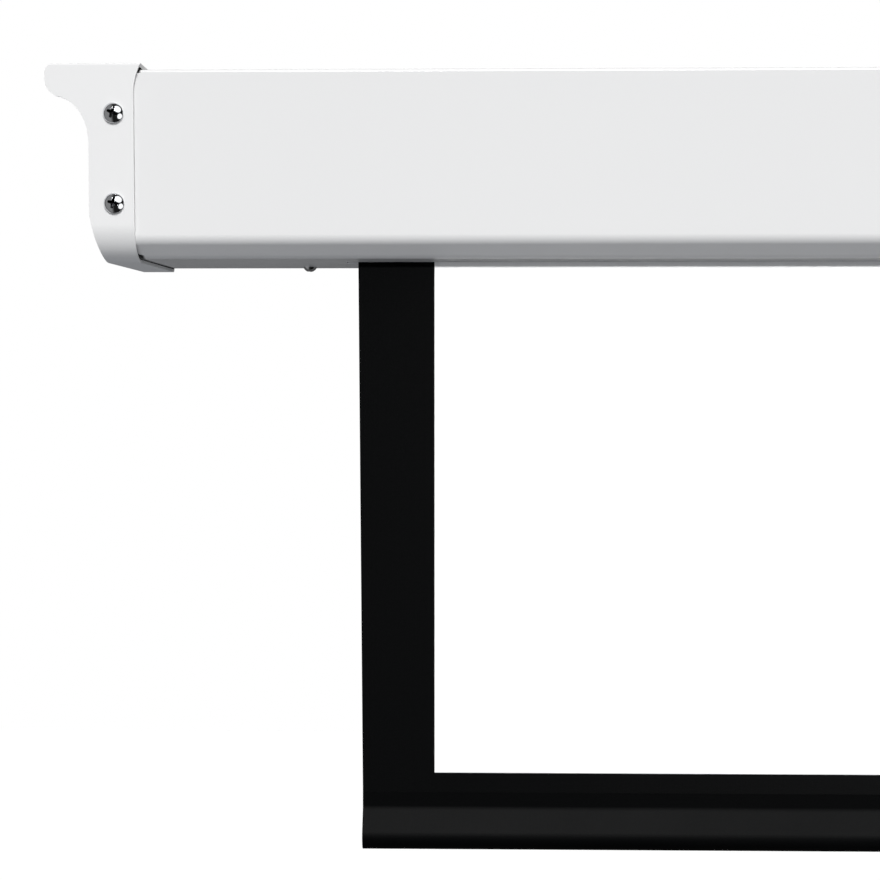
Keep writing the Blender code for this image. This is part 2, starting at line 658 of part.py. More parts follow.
def build_motor_end(roller):
    """The right end: tubular motor, its head, crown ring, output shaft and drive wheel."""
    axis = (ROLLER_Y, ROLLER_Z)
    body = [
        (MOTOR_INNER_X, 0), (MOTOR_INNER_X, 14 * MM), (MOTOR_INNER_X + 2 * MM, MOTOR_RADIUS),
        (760 * MM, MOTOR_RADIUS), (761 * MM, 16.3 * MM), (764 * MM, 16.3 * MM), (765 * MM, MOTOR_RADIUS),
        (990 * MM, MOTOR_RADIUS), (991 * MM, 16.3 * MM), (994 * MM, 16.3 * MM), (995 * MM, MOTOR_RADIUS),
        (TUBE_HALF - 1 * MM, MOTOR_RADIUS), (TUBE_HALF, 16 * MM), (TUBE_HALF, 0),
    ]
    make_object("motor_tube", turned(body, axis), ZINC, round_piece=True)

    head_profile = [
        (HEAD_NECK_X, 0), (HEAD_NECK_X, 14 * MM), (HEAD_FLANGE_X, 14 * MM),
        (HEAD_FLANGE_X, HEAD_RADIUS - 1 * MM), (HEAD_FLANGE_X + 1 * MM, HEAD_RADIUS),
        (HEAD_FACE_X - 1 * MM, HEAD_RADIUS), (HEAD_FACE_X, HEAD_RADIUS - 1 * MM), (HEAD_FACE_X, 0),
    ]
    head = make_object("motor_head", turned(head_profile, axis), BLACK_PLASTIC, round_piece=True)
    pockets = []
    for offset_y, offset_z in LIMIT_SCREW_OFFSETS:
        pocket = circle(axis[0] + offset_y, axis[1] + offset_z, LIMIT_SCREW_RADIUS + TOUCH)
        pockets.append(extruded(pocket, HEAD_FACE_X - 9 * MM, HEAD_FACE_X + 2 * MM))
    for offset_y, offset_z in HEAD_SCREW_OFFSETS:
        pocket = circle(axis[0] + offset_y, axis[1] + offset_z, 2.1 * MM)
        pockets.append(extruded(pocket, HEAD_FACE_X - 12 * MM, HEAD_FACE_X + 2 * MM))
    lead = circle(axis[0] + LEAD_OFFSET[0], axis[1] + LEAD_OFFSET[1], 3.4 * MM)
    pockets.append(extruded(lead, HEAD_FACE_X - 5 * MM, HEAD_FACE_X + 2 * MM))
    boolean(head, make_object("motor_head_pockets", joined(pockets)))

    for name, (offset_y, offset_z) in zip(("up_limit_screw", "down_limit_screw"), LIMIT_SCREW_OFFSETS):
        place = (HEAD_FACE_X - 4 * MM, axis[0] + offset_y, axis[1] + offset_z)
        carrier = pivot(name + "_axis", place)
        stem = extruded(circle(place[1], place[2], LIMIT_SCREW_RADIUS),
                        HEAD_FACE_X - 8.5 * MM, HEAD_FACE_X - 0.5 * MM)
        screw = make_object(name, stem, WHITE_PLASTIC, carrier, True)
        socket = extruded(circle(place[1], place[2], 1.7 * MM, 6), HEAD_FACE_X - 5 * MM, HEAD_FACE_X + 1 * MM)
        boolean(screw, make_object(name + "_socket", socket, parent=carrier))

    crown_low = TUBE_HALF + TOUCH
    crown = make_object("crown_ring", extruded(
        circle(*axis, TUBE_RADIUS - 0.2 * MM), crown_low, crown_low + 5 * MM,
        holes=[circle(*axis, 14.3 * MM)]), BLACK_PLASTIC, roller, True)
    keys = []
    for side in (-1, 1):
        edges = sorted((axis[1] + side * (TUBE_RADIUS - 0.95 * MM), axis[1] + side * (TUBE_RADIUS - 0.25 * MM)))
        keys.append(block((TUBE_HALF - 6 * MM, axis[0] - 2 * MM, edges[0]),
                          (crown_low + 3 * MM, axis[0] + 2 * MM, edges[1])))
    boolean(crown, make_object("crown_keys", joined(keys), parent=roller), "UNION")

    wheel_low = MOTOR_INNER_X - 26 * MM
    wheel_high = wheel_low + 18 * MM
    shaft = [
        (wheel_low - 4 * MM, 0), (wheel_low - 4 * MM, 4.2 * MM), (wheel_low - 3 * MM, 5 * MM),
        (wheel_low - 1.6 * MM, 5 * MM), (wheel_low - 1.6 * MM, 4 * MM), (wheel_low - 0.4 * MM, 4 * MM),
        (wheel_low - 0.4 * MM, 5 * MM), (MOTOR_INNER_X - TOUCH, 5 * MM), (MOTOR_INNER_X - TOUCH, 0),
    ]
    output = make_object("motor_output_shaft", turned(shaft, axis), STEEL, roller, True)
    flats = []
    for side in (-1, 1):
        edges = sorted((axis[1] + side * 4.2 * MM, axis[1] + side * 8 * MM))
        flats.append(block((wheel_low - 5 * MM, axis[0] - 8 * MM, edges[0]),
                           (wheel_high + 1 * MM, axis[0] + 8 * MM, edges[1])))
    boolean(output, make_object("shaft_flats", joined(flats), parent=roller))

    wheel_radius = TUBE_RADIUS - TUBE_WALL - TOUCH
    bore = rounded([
        (axis[0] - 5.3 * MM, axis[1] - 4.5 * MM, 1 * MM), (axis[0] + 5.3 * MM, axis[1] - 4.5 * MM, 1 * MM),
        (axis[0] + 5.3 * MM, axis[1] + 4.5 * MM, 1 * MM), (axis[0] - 5.3 * MM, axis[1] + 4.5 * MM, 1 * MM),
    ])
    openings = [bore]
    spokes = 6
    for index in range(spokes):
        middle = 2 * math.pi * (index + 0.5) / spokes
        openings.append(sector(axis, 9 * MM, 14.5 * MM, middle, math.radians(21)))
    wheel = extruded(circle(*axis, wheel_radius), wheel_low, wheel_high, holes=openings)
    make_object("drive_wheel", wheel, BLACK_PLASTIC, roller, True)
    clip = extruded(circle(*axis, 7 * MM), wheel_low - 1.45 * MM, wheel_low - 0.55 * MM,
                    holes=[circle(*axis, 4.3 * MM)])
    make_object("drive_wheel_clip", clip, ZINC, roller)

    holes = [(axis[0] + offset_y, axis[1] + offset_z, 3.6 * MM) for offset_y, offset_z in LIMIT_SCREW_OFFSETS]
    holes += [(axis[0] + offset_y, axis[1] + offset_z, 2.3 * MM) for offset_y, offset_z in HEAD_SCREW_OFFSETS]
    holes.append((axis[0] + LEAD_OFFSET[0], axis[1] + LEAD_OFFSET[1], 4.2 * MM))
    plate_out = MOTOR_PLATE_X + SUPPORT_PLATE
    support("motor_support", MOTOR_PLATE_X, plate_out, MOTOR_PLATE_X - 19 * MM, MOTOR_PLATE_X - 1 * MM, holes)
    for level, (offset_y, offset_z) in zip(("upper", "lower"), HEAD_SCREW_OFFSETS):
        place = (plate_out + TOUCH, axis[0] + offset_y, axis[1] + offset_z)
        screw = placed(pan_head_screw(3.6 * MM, 1.8 * MM, 10 * MM, 2.4 * MM), (-1, 0, 0), place)
        make_object(f"{level}_motor_screw", screw, ZINC, round_piece=True)


def sector(axis, inner, outer, middle, half_width, steps=4):
    """A window between two spokes, as an outline about the axis."""
    outline = []
    for radius, direction in ((outer, 1), (inner, -1)):
        for step in range(steps + 1):
            angle = middle + direction * half_width * (2 * step / steps - 1)
            outline.append((axis[0] + radius * math.cos(angle), axis[1] + radius * math.sin(angle)))
    return outline


def build_roller(roller):
    """The tube, with notches for the crown ring's keys, and the fabric still wound on it."""
    axis = (ROLLER_Y, ROLLER_Z)
    tube = make_object("roller_tube", extruded(
        circle(*axis, TUBE_RADIUS), -TUBE_HALF, TUBE_HALF,
        holes=[circle(*axis, TUBE_RADIUS - TUBE_WALL)]), ZINC, roller, True)
    notches = block((TUBE_HALF - 6.5 * MM, axis[0] - 2.3 * MM, axis[1] - 25 * MM),
                    (TUBE_HALF + 1 * MM, axis[0] + 2.3 * MM, axis[1] + 25 * MM))
    boolean(tube, make_object("tube_notches", notches, parent=roller))

    count = facets(ROLL_RADIUS)
    wound = []
    for index in range(count + 1):
        angle = math.pi - 2 * math.pi * index / count
        reach = ROLL_RADIUS - FABRIC_THICKNESS * index / count
        wound.append((axis[0] + reach * math.cos(angle), axis[1] + reach * math.sin(angle)))
    bore = circle(*axis, TUBE_RADIUS + TOUCH, count)
    roll = extruded(wound, -FABRIC_WIDTH / 2, FABRIC_WIDTH / 2, holes=[bore])
    make_object("fabric_roll", roll, SCREEN_BLACK, roller, True)


def build_screen(bar):
    """The hanging fabric, its hem with the weight bar, and the plugs in the bar's ends."""
    half_width = FABRIC_WIDTH / 2
    half_sheet = FABRIC_THICKNESS / 2
    weld_top = HEM_LINE + WELD_HEIGHT
    sheet = block((-half_width, FABRIC_Y - half_sheet, weld_top + TOUCH),
                  (half_width, FABRIC_Y + half_sheet, ROLLER_Z))
    make_object("screen_fabric", sheet, SCREEN_WHITE)

    inner = BAR_RADIUS + TOUCH
    outer = inner + FABRIC_THICKNESS
    centre = HEM_BOTTOM + outer

    def teardrop(radius, apex, neck):
        """The loop of the hem: two straight sides that run from its apex round the bar."""
        spread = math.acos(radius / (apex - centre))
        points = []
        for step in range(17):
            angle = math.pi / 2 + spread + (2 * math.pi - 2 * spread) * step / 16
            points.append((FABRIC_Y + radius * math.cos(angle), centre + radius * math.sin(angle)))
        return neck + points

    weld = FABRIC_THICKNESS
    neck = [(FABRIC_Y + weld, HEM_LINE), (FABRIC_Y + weld, weld_top),
            (FABRIC_Y - weld, weld_top), (FABRIC_Y - weld, HEM_LINE)]
    hem = extruded(teardrop(outer, HEM_LINE, neck), -half_width, half_width,
                   holes=[teardrop(inner, HEM_LINE - 1.2 * MM, [(FABRIC_Y, HEM_LINE - 1.2 * MM)])])
    make_object("hem_pocket", hem, SCREEN_BLACK, bar)

    plug_length = 2 * MM
    rod = extruded(circle(FABRIC_Y, centre, BAR_RADIUS), -half_width + plug_length + TOUCH,
                   half_width - plug_length - TOUCH,
                   holes=[circle(FABRIC_Y, centre, BAR_RADIUS - BAR_WALL)])
    make_object("weight_bar", rod, ZINC, bar, True)
    stem_radius = BAR_RADIUS - BAR_WALL - TOUCH
    for name, side in (("left_bar_plug", -1), ("right_bar_plug", 1)):
        face = side * half_width
        plug = [(face, 0), (face, BAR_RADIUS - 0.6 * MM), (face - side * 0.6 * MM, BAR_RADIUS),
                (face - side * plug_length, BAR_RADIUS), (face - side * plug_length, stem_radius),
                (face - side * 14 * MM, stem_radius), (face - side * 15 * MM, stem_radius - 0.8 * MM),
                (face - side * 15 * MM, 0)]
        make_object(name, turned(plug, (FABRIC_Y, centre)), BLACK_PLASTIC, bar, True)


def build_controls():
    """The receiver box beside the motor, the motor's lead, and the gland for the mains cable."""
    low = BOX_LOW
    high = BOX_HIGH
    box = make_object("control_box", block(low, high), WHITE_PLASTIC)
    wall = Vector((BOX_WALL, BOX_WALL, BOX_WALL))
    inside = block(low + wall, (high.x - BOX_WALL, high.y - BOX_WALL, high.z + 1 * MM))
    boolean(box, make_object("control_box_inside", inside))
    entry_y = ROLLER_Y + LEAD_OFFSET[0]
    entry_z = ROLLER_Z + LEAD_OFFSET[1]
    entry = extruded(circle(entry_y, entry_z, 3.1 * MM), low.x - 1 * MM, low.x + 3 * MM)
    boolean(box, make_object("control_box_entry", entry))

    board_low = low.z + BOX_WALL + POST_HEIGHT
    from_edge = BOX_WALL + 5 * MM
    posts = [extruded(circle(post_x, post_y, POST_RADIUS), low.z + BOX_WALL / 2, board_low - TOUCH, "Z")
             for post_x in (low.x + from_edge, high.x - from_edge)
             for post_y in (low.y + from_edge, high.y - from_edge)]
    boolean(box, make_object("control_box_posts", joined(posts)), "UNION")

    lid_low = high.z + TOUCH
    lid = make_object("control_box_lid", block((low.x, low.y, lid_low), (high.x, high.y, lid_low + 2 * MM)),
                      WHITE_PLASTIC)
    step = lid.modifiers.new("soft_edges", "BEVEL")
    step.width = 0.6 * MM
    step.segments = 2

    edge = BOX_WALL + 1 * MM
    board = block((low.x + edge, low.y + edge, board_low),
                  (high.x - edge, high.y - edge, board_low + BOARD_THICKNESS))
    make_object("control_board", board, BOARD_GREEN)
    clamp_low = board_low + BOARD_THICKNESS + TOUCH
    terminals = make_object("terminal_block", block(
        (low.x + 22 * MM, low.y + 4 * MM, clamp_low),
        (low.x + 46 * MM, low.y + 14 * MM, clamp_low + 9 * MM)), GREY_PLASTIC)
    wells = [extruded(circle(low.x + (25 + 6 * index) * MM, low.y + 9 * MM, 1.8 * MM),
                      clamp_low + 5 * MM, clamp_low + 10 * MM, "Z") for index in range(4)]
    boolean(terminals, make_object("terminal_wells", joined(wells)))

    route = lead_route((HEAD_FACE_X - 4.5 * MM, entry_y, entry_z), low.x + 5 * MM,
                       (low.x + 21.2 * MM, low.y + 9 * MM, clamp_low + 4.5 * MM))
    make_cable("motor_lead", route, LEAD_RADIUS)

    outer_face = HALF_LENGTH
    body = [
        (outer_face - 12 * MM, 3.6 * MM), (outer_face - 12 * MM, 5.4 * MM), (outer_face - 11.4 * MM, 6 * MM),
        (outer_face + TOUCH, 6 * MM), (outer_face + TOUCH, 9 * MM), (outer_face + 4 * MM, 9 * MM),
        (outer_face + 5 * MM, 8 * MM), (outer_face + 12 * MM, 6.4 * MM), (outer_face + 13 * MM, 5 * MM),
        (outer_face + 13 * MM, 3.6 * MM),
    ]
    make_object("cable_gland", turned(body, (GLAND_Y, GLAND_Z), closed=True), BLACK_PLASTIC,
                round_piece=True)
    nut = extruded(circle(GLAND_Y, GLAND_Z, 9.2 * MM, 6), outer_face - BRACKET_WALL - TOUCH - 4 * MM,
                   outer_face - BRACKET_WALL - TOUCH, holes=[circle(GLAND_Y, GLAND_Z, 6.3 * MM)])
    make_object("gland_nut", nut, BLACK_PLASTIC)


def lead_route(start, bend_x, end, steps=14):
    """Straight along X from the motor's head into the box, then an S to the terminals."""
    bend = Vector((bend_x, start[1], start[2]))
    finish = Vector(end)
    pull = Vector((22 * MM, 0, 0))
    points = [Vector(start), (Vector(start) + bend) / 2]
    for step in range(steps + 1):
        share = step / steps
        square = share * share
        cube = square * share
        points.append(bend * (2 * cube - 3 * square + 1) + pull * (cube - 2 * square + share)
                      + finish * (3 * square - 2 * cube) + pull * (cube - square))
    return points


def make_cable(name, route, radius):
    """A round cable along a route."""
    curve = bpy.data.curves.new(name, "CURVE")
    curve.dimensions = "3D"
    curve.bevel_depth = radius
    curve.bevel_resolution = 2
    curve.use_fill_caps = True
    line = curve.splines.new("POLY")
    line.points.add(len(route) - 1)
    for point, place in zip(line.points, route):
        point.co = (*place, 1)
    curve.materials.append(finish_of(*CABLE_BLACK))
    made = bpy.data.objects.new(name, curve)
    bpy.context.collection.objects.link(made)
    return made


def build():
    """Build every piece."""
    clear_scene()
    roller = pivot("roller_axis", (0, ROLLER_Y, ROLLER_Z))
    bar = pivot("bar_travel", (0, FABRIC_Y, HEM_LINE))
    build_casing()
    build_bracket("left_end_bracket", -1)
    build_bracket("right_end_bracket", 1)
    build_fasteners()
    build_idler_end(roller)
    build_motor_end(roller)
    build_roller(roller)
    build_screen(bar)
    build_controls()


build()
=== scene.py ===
"""Looks of the motorized projector screen: a white casing and brackets, with the screen lowered a little.

Each operator makes one piece or one group of like pieces.  A piece's surface is worked out with
numpy as a function of two parameters, in metres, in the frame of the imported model: X along the
casing, Y from the front to the wall, Z up, with the ceiling at Z = 0.
"""
import math

import bmesh
import bpy
import numpy as np
from bpy.props import FloatProperty, FloatVectorProperty, IntProperty, PointerProperty
from mathutils import Matrix, Vector


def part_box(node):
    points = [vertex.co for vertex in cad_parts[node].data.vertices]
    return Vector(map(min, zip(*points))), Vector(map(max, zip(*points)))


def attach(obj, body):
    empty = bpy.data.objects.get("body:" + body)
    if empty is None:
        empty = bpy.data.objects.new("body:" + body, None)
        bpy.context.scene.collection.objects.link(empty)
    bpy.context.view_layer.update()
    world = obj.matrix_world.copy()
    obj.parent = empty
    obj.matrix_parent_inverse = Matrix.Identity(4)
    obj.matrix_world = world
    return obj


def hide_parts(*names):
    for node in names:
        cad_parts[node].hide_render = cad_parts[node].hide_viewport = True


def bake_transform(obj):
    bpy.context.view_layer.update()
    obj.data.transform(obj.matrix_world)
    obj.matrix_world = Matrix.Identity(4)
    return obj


bl_info = {
    "name": "Projector Screen Builder",
    "version": (1, 0, 0),
    "blender": (4, 5, 0),
    "location": "3D View > Sidebar > Screen",
    "description": "Builds the casing, brackets, fabric and fittings of a motorized projector screen",
    "category": "Add Mesh",
}

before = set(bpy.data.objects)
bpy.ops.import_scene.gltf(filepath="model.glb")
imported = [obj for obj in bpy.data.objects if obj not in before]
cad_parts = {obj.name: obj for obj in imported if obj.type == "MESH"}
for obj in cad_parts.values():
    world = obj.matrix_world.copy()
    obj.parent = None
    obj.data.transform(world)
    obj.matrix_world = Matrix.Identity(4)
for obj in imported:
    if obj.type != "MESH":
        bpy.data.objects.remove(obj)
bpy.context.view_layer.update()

MM = 0.001
CASING_LOW, CASING_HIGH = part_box("casing")
LEFT_LOW, LEFT_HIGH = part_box("left_end_bracket")
RIGHT_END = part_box("right_end_bracket")[1].x
FABRIC_LOW, FABRIC_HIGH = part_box("screen_fabric")
FABRIC_Y = (FABRIC_LOW.y + FABRIC_HIGH.y) / 2
HEM_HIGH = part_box("hem_pocket")[1]


def box_axis(node):
    """A node's box as its two corners, and the (y, z) of the line along X through its middle."""
    low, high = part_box(node)
    return low, high, ((low.y + high.y) / 2, (low.z + high.z) / 2)


def amount(name, description, *default, **more):
    """A number that the user may change, or several in one property."""
    if len(default) == 1:
        return FloatProperty(name=name, description=description, default=default[0], **more)
    return FloatVectorProperty(name=name, description=description, size=len(default), default=default, **more)


def length(name, description, *millimetres):
    """A length that the user may change, or several in one property."""
    return amount(name, description, *(value * MM for value in millimetres), unit="LENGTH")


def colour(name, description, *default):
    """A colour that the user may change."""
    return amount(name, description, *default, subtype="COLOR", min=0, max=1)


class ScreenSizes(bpy.types.PropertyGroup):
    """Sizes of what is seen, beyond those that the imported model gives."""
    sheet_wall: length("Sheet wall", "Thickness of the casing's steel sheet", 1.0)
    top_gap: length("Top gap", "How far the sheet's top stays below its node's box", 0.8)
    slot_front: length("Slot front", "Depth of the slot's front edge", -8.5)
    slot_width: length("Slot width", "Width of the slot for the fabric", 12)
    slot_half: length("Slot half length", "Half of the slot's length", 1054)
    slot_lip: length("Slot lip", "Height of the slot's turned-up edges", 5)
    fold_radius: length("Fold radius", "Radius of the folds at the slot", 1.2)
    strip: length("Strip", "Depth and height of the sloping strip on the casing", 8, 6.3)
    casing_folds: length("Casing folds", "Radius of the casing's folds: at the strip's foot, at its head, "
                         "at the top in front, and behind", 6, 4.5, 0.3, 3)
    bracket_wall: length("Bracket wall", "Wall of the moulded brackets", 1.3)
    bracket_edge: length("Bracket edge", "Radius on a bracket's free edge over the casing, and on its "
                         "other edges", 0.9, 0.3)
    bracket_radius: length("Bracket corner", "Radius of a bracket's long corners: the upper front one, and "
                           "the rear ones", 0.7, 2)
    flange_width: length("Flange width", "Reach of a bracket over the casing", 18.5)
    flange_flare: length("Flange flare", "Extra reach of that edge at its top", 3)
    flare_drop: length("Flare drop", "Height over which the edge flares", 12)
    corner: length("Lower corner", "Depth and height of a bracket's rounded lower front corner", 13, 15)
    pocket_corner: length("Pocket corner", "The same of the pocket for the casing", 12, 14)
    foot: length("Foot", "How far a bracket draws in at the foot of its end plate, and over which height",
                 4.8, 19.5)
    pocket_end: length("Pocket end", "Distance of the casing's pocket from the end plate's face", 6)
    ear_reach: length("Ear reach", "Reach of the ear beyond the end plate", 17.7)
    ear_drop: length("Ear drop", "Height at which the ear joins the end plate", 32)
    ear_corner: length("Ear corner", "Reach and height of the rounded corner at the ear's top", 3.5, 4.4)
    ear_tip: length("Ear tip", "Radius of the ear's tip and height of its centre", 7.2, -6.3)
    ear_sweep: length("Ear sweep", "Reach and height of the curve that carries the tip into the end plate",
                      14, 18.7)
    ear_lip: length("Ear lip", "Height to which the ear's outer wall comes down", -7.5)
    ear_hole: length("Ear hole", "Distance of the screw holes from the end plate, their radius, and their "
                     "distance in front of and behind the middle", 4.5, 2.5, 26)
    key_slot: length("Keyhole slot", "Radius of the keyhole's slot and height of its top arc's centre", 2, -5)
    key_entry: length("Keyhole entry", "Radius of the keyhole's round entry and height of its centre",
                      3.4, -9.4)
    draw_in: length("Draw-in", "How much narrower each side of the cloth is at the hem", 1.6)
    side_border: length("Side border", "Width of the black side borders", 33)
    border_top: length("Bottom border height", "Height of the lower border's upper edge", -300.3)
    top_band_end: length("Top band end", "Lower edge of the black band on the roller", -70)
    hem_line: length("Hem line", "Height at which the hem's two layers part", -316)
    cloth: length("Cloth", "Thickness of the fabric", 0.4)
    roll_cloth: length("Wound cloth", "Thickness and pitch of the fabric on the roller", 0.22, 0.27)
    weave_pitch: length("Weave pitch", "Distance between the threads under the coating", 0.55)
    arc_steps: IntProperty(name="Arc steps", description="Facets in each rounded corner",
                           default=12, min=3, max=48)


class ScreenColours(bpy.types.PropertyGroup):
    """Colours of the finishes."""
    powder_white: colour("Powder coat", "Paint of the casing", 0.845, 0.845, 0.845)
    moulded_white: colour("Moulded white", "Plastic of the brackets", 0.83, 0.83, 0.83)
    cloth_white: colour("Screen white", "Viewing surface", 0.97, 0.97, 0.97)
    cloth_black: colour("Screen black", "Border and back of the fabric", 0.0009, 0.0011, 0.0013)
    moulded_black: colour("Moulded black", "Black plastic pieces", 0.02, 0.02, 0.021)
    moulded_grey: colour("Moulded grey", "Terminal block", 0.3, 0.31, 0.32)
    chrome: colour("Chrome", "Plating of the bracket screws", 0.7, 0.71, 0.73)
    zinc: colour("Zinc", "Plating of the inner steel pieces", 0.6, 0.61, 0.62)
    board_green: colour("Board green", "Lacquer of the control board", 0.03, 0.16, 0.07)


class ScreenStage(bpy.types.PropertyGroup):
    """The camera's place and the light."""
    camera_place: amount("Camera", "Place of the camera", -0.9997, -0.6931, -0.1189, subtype="TRANSLATION",
                         unit="LENGTH")
    camera_turn: amount("Camera turn", "How far it looks down and left",
                        math.radians(3.0), math.radians(1.165), unit="ROTATION")
    lens: amount("Focal length", "Focal length in millimetres on a 36 mm sensor", 65.1, min=10)
    floor_height: amount("Floor", "Height of the floor", -1.95, unit="LENGTH")
    floor_front: amount("Floor front", "Depth at which the front of the floor ends", -2.0, unit="LENGTH")
    floor_tones: amount("Floor tones", "Share of the light that the floor throws back up in front, and below "
                        "the object", 0.4, 0.33, min=0, max=1)
    floor_tint: amount("Floor tint", "Cast of the light that the floor throws back up", 0.94, 0.97, 1.03,
                       min=0, max=2)
    floor_glow: amount("Floor glow", "What the floor lacks to be white to the camera", 0.16, min=0)
    key_light: amount("Key light", "Strength, elevation and swing to the right of the soft light from above",
                      2.78, math.radians(39), math.radians(4))
    screen_light: amount("Screen light", "The same of the low light on the fabric",
                         3.6, math.radians(3.3), math.radians(45))
    light_widths: amount("Light widths", "How wide the two lights look from the object, in degrees", 26, 1.5)
    upper_light: amount("Upper light", "Level of the light from above", 0.35)
    lower_light: amount("Lower light", "Level of the light from below", 0.3)
    mirrored: amount("Mirrored levels", "Levels that gloss mirrors at the left, in front and behind",
                     0.28, 0.015, 0.1, min=0)
    cloth_bounce: amount("Cloth bounce", "Share of the light that the white cloth throws on what stands near "
                         "it", 0.3, min=0, max=1)


def grid_faces(rows, columns, wrap_columns=False):
    """Quads of a grid as an array of corner numbers: cell (i, j) joins points (i, j) to (i + 1, j + 1)."""
    last = columns if wrap_columns else columns - 1
    i, j = np.meshgrid(np.arange(rows - 1), np.arange(last), indexing="ij")
    beside = (j + 1) % columns
    corners = [i * columns + j, i * columns + beside, (i + 1) * columns + beside, (i + 1) * columns + j]
    return np.stack(corners, axis=-1).reshape(-1, 4)


def grid_mesh(name, points, faces=None, uv=None, wrap_columns=False):
    """A mesh from an array of points (rows, columns, 3), with the grid's own quads unless others are given.

    uv gives one texture place to each point.
    """
    rows, columns = points.shape[:2]
    if faces is None:
        faces = grid_faces(rows, columns, wrap_columns)
    mesh = bpy.data.meshes.new(name)
    mesh.vertices.add(rows * columns)
    mesh.vertices.foreach_set("co", points.astype(np.float32).ravel())
    mesh.loops.add(faces.size)
    mesh.loops.foreach_set("vertex_index", faces.astype(np.int32).ravel())
    mesh.polygons.add(len(faces))
    mesh.polygons.foreach_set("loop_start", np.arange(0, faces.size, 4, dtype=np.int32))
    mesh.update(calc_edges=True)
    if uv is not None:
        layer = mesh.uv_layers.new(name="surface")
        layer.data.foreach_set("uv", uv.reshape(-1, 2)[faces.ravel()].astype(np.float32).ravel())
    return mesh


def merged(meshes, name, closed=True):
    """Several meshes in one, with the points that coincide joined, and the faces turned out."""
    whole = bmesh.new()
    for mesh in meshes:
        whole.from_mesh(mesh)
    bmesh.ops.remove_doubles(whole, verts=whole.verts, dist=2e-6)
    if closed:
        bmesh.ops.recalc_face_normals(whole, faces=whole.faces)
    target = bpy.data.meshes.new(name)
    whole.to_mesh(target)
    whole.free()
    for mesh in meshes:
        bpy.data.meshes.remove(mesh)
    return target


def new_object(name, mesh):
    """An object at the origin, whose place is in its mesh."""
    made = bpy.data.objects.new(name, mesh)
    bpy.context.scene.collection.objects.link(made)
    return made


def made_final(item):
    """Make an object's modifiers part of its mesh."""
    graph = bpy.context.evaluated_depsgraph_get()
    mesh = bpy.data.meshes.new_from_object(item.evaluated_get(graph))
    item.modifiers.clear()
    item.data = mesh


def settled(item, sharp_angle=35):
    """Make an object's modifiers final, then shade it smooth up to an angle."""
    made_final(item)
    item.data.shade_smooth()
    item.data.set_sharp_from_angle(angle=math.radians(sharp_angle))
    even = item.modifiers.new("even_shading", "WEIGHTED_NORMAL")
    even.keep_sharp = True
    made_final(item)
    return item


def dress(item, finish, body, node):
    """Give a piece its finish and the body it rides on, and hide the node it stands for."""
    item.data.materials.clear()
    item.data.materials.append(FINISHES[finish])
    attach(item, body)
    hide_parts(node)


def solidified(item, thickness):
    """Give a surface a wall of even thickness inwards, and make it final."""
    step = item.modifiers.new("wall", "SOLIDIFY")
    step.thickness = thickness
    step.use_even_offset = True
    return settled(item)


def softly_edged(item, width, segments, limit_method):
    """Give an object a bevel, which isn't final yet."""
    soft = item.modifiers.new("soft_edges", "BEVEL")
    soft.width = width
    soft.segments = segments
    soft.limit_method = limit_method


def rounded_outline(corners, steps):
    """The closed outline of a polygon with rounded corners, given as (first, second, radius).

    Each corner's arc touches both of its sides.  The point at share s of the arc is the arc's
    centre plus its first spoke turned by s times the arc's sweep.
    """
    places = np.array([corner[:2] for corner in corners])
    radii = np.array([corner[2] for corner in corners])
    before = np.roll(places, 1, axis=0) - places
    after = np.roll(places, -1, axis=0) - places
    before /= np.linalg.norm(before, axis=1, keepdims=True)
    after /= np.linalg.norm(after, axis=1, keepdims=True)
    half = np.arccos(np.clip((before * after).sum(axis=1), -1, 1)) / 2
    middle = before + after
    middle /= np.linalg.norm(middle, axis=1, keepdims=True)
    centres = places + middle * (radii / np.sin(half))[:, None]
    reach = (radii / np.tan(half))[:, None]
    first = places + before * reach - centres
    last = places + after * reach - centres
    sweep = np.pi - 2 * half
    sweep *= np.sign(first[:, 0] * last[:, 1] - first[:, 1] * last[:, 0])
    angle = sweep[:, None] * np.linspace(0, 1, steps + 1)[None, :]
    turned_first = first[:, :1] * np.cos(angle) - first[:, 1:] * np.sin(angle)
    turned_second = first[:, :1] * np.sin(angle) + first[:, 1:] * np.cos(angle)
    spokes = np.stack([turned_first, turned_second], axis=-1)
    return (centres[:, None, :] + spokes).reshape(-1, 2)


def arc(centre, radii, start, end, steps):
    """Points on an ellipse: centre + (radii cosine t, radii sine t), t even from start to end degrees."""
    turn = np.radians(np.linspace(start, end, steps + 1))
    return np.stack([centre[0] + radii[0] * np.cos(turn), centre[1] + radii[1] * np.sin(turn)], axis=1)


def carried(profile, stations):
    """A profile of (y, z) carried along X: point (i, j) is (station i, profile j)."""
    stations = np.asarray(stations, float)
    points = np.empty((len(stations), len(profile), 3))
    points[..., 0] = stations[:, None]
    points[..., 1:] = profile[None]
    return points


def prism(name, outline, start, end, axis):
    """A closed prism: an outline carried straight along X, Y or Z, with a flat cap at each end."""
    count = len(outline)
    first, second = [index for index in range(3) if index != axis]
    points = np.zeros((2, count, 3))
    points[..., first] = outline[:, 0]
    points[..., second] = outline[:, 1]
    points[0, :, axis] = start
    points[1, :, axis] = end
    sides = grid_faces(2, count, wrap_columns=True).tolist()
    caps = [list(range(count)), list(range(count, 2 * count))]
    mesh = bpy.data.meshes.new(name)
    mesh.from_pydata(points.reshape(-1, 3).tolist(), [], sides + caps)
    return new_object(name, merged([mesh], name))


def trimmed(target, tools, limit=None):
    """Keep what lies in the limit, if one is given, then cut the tools away, and remove them all."""
    steps = [(limit, "INTERSECT")] if limit else []
    steps += [(tool, "DIFFERENCE") for tool in tools]
    for tool, operation in steps:
        step = target.modifiers.new(tool.name, "BOOLEAN")
        step.operation = operation
        step.object = tool
        step.solver = "EXACT"
    settled(target)
    for tool, _ in steps:
        bpy.data.objects.remove(tool, do_unlink=True)


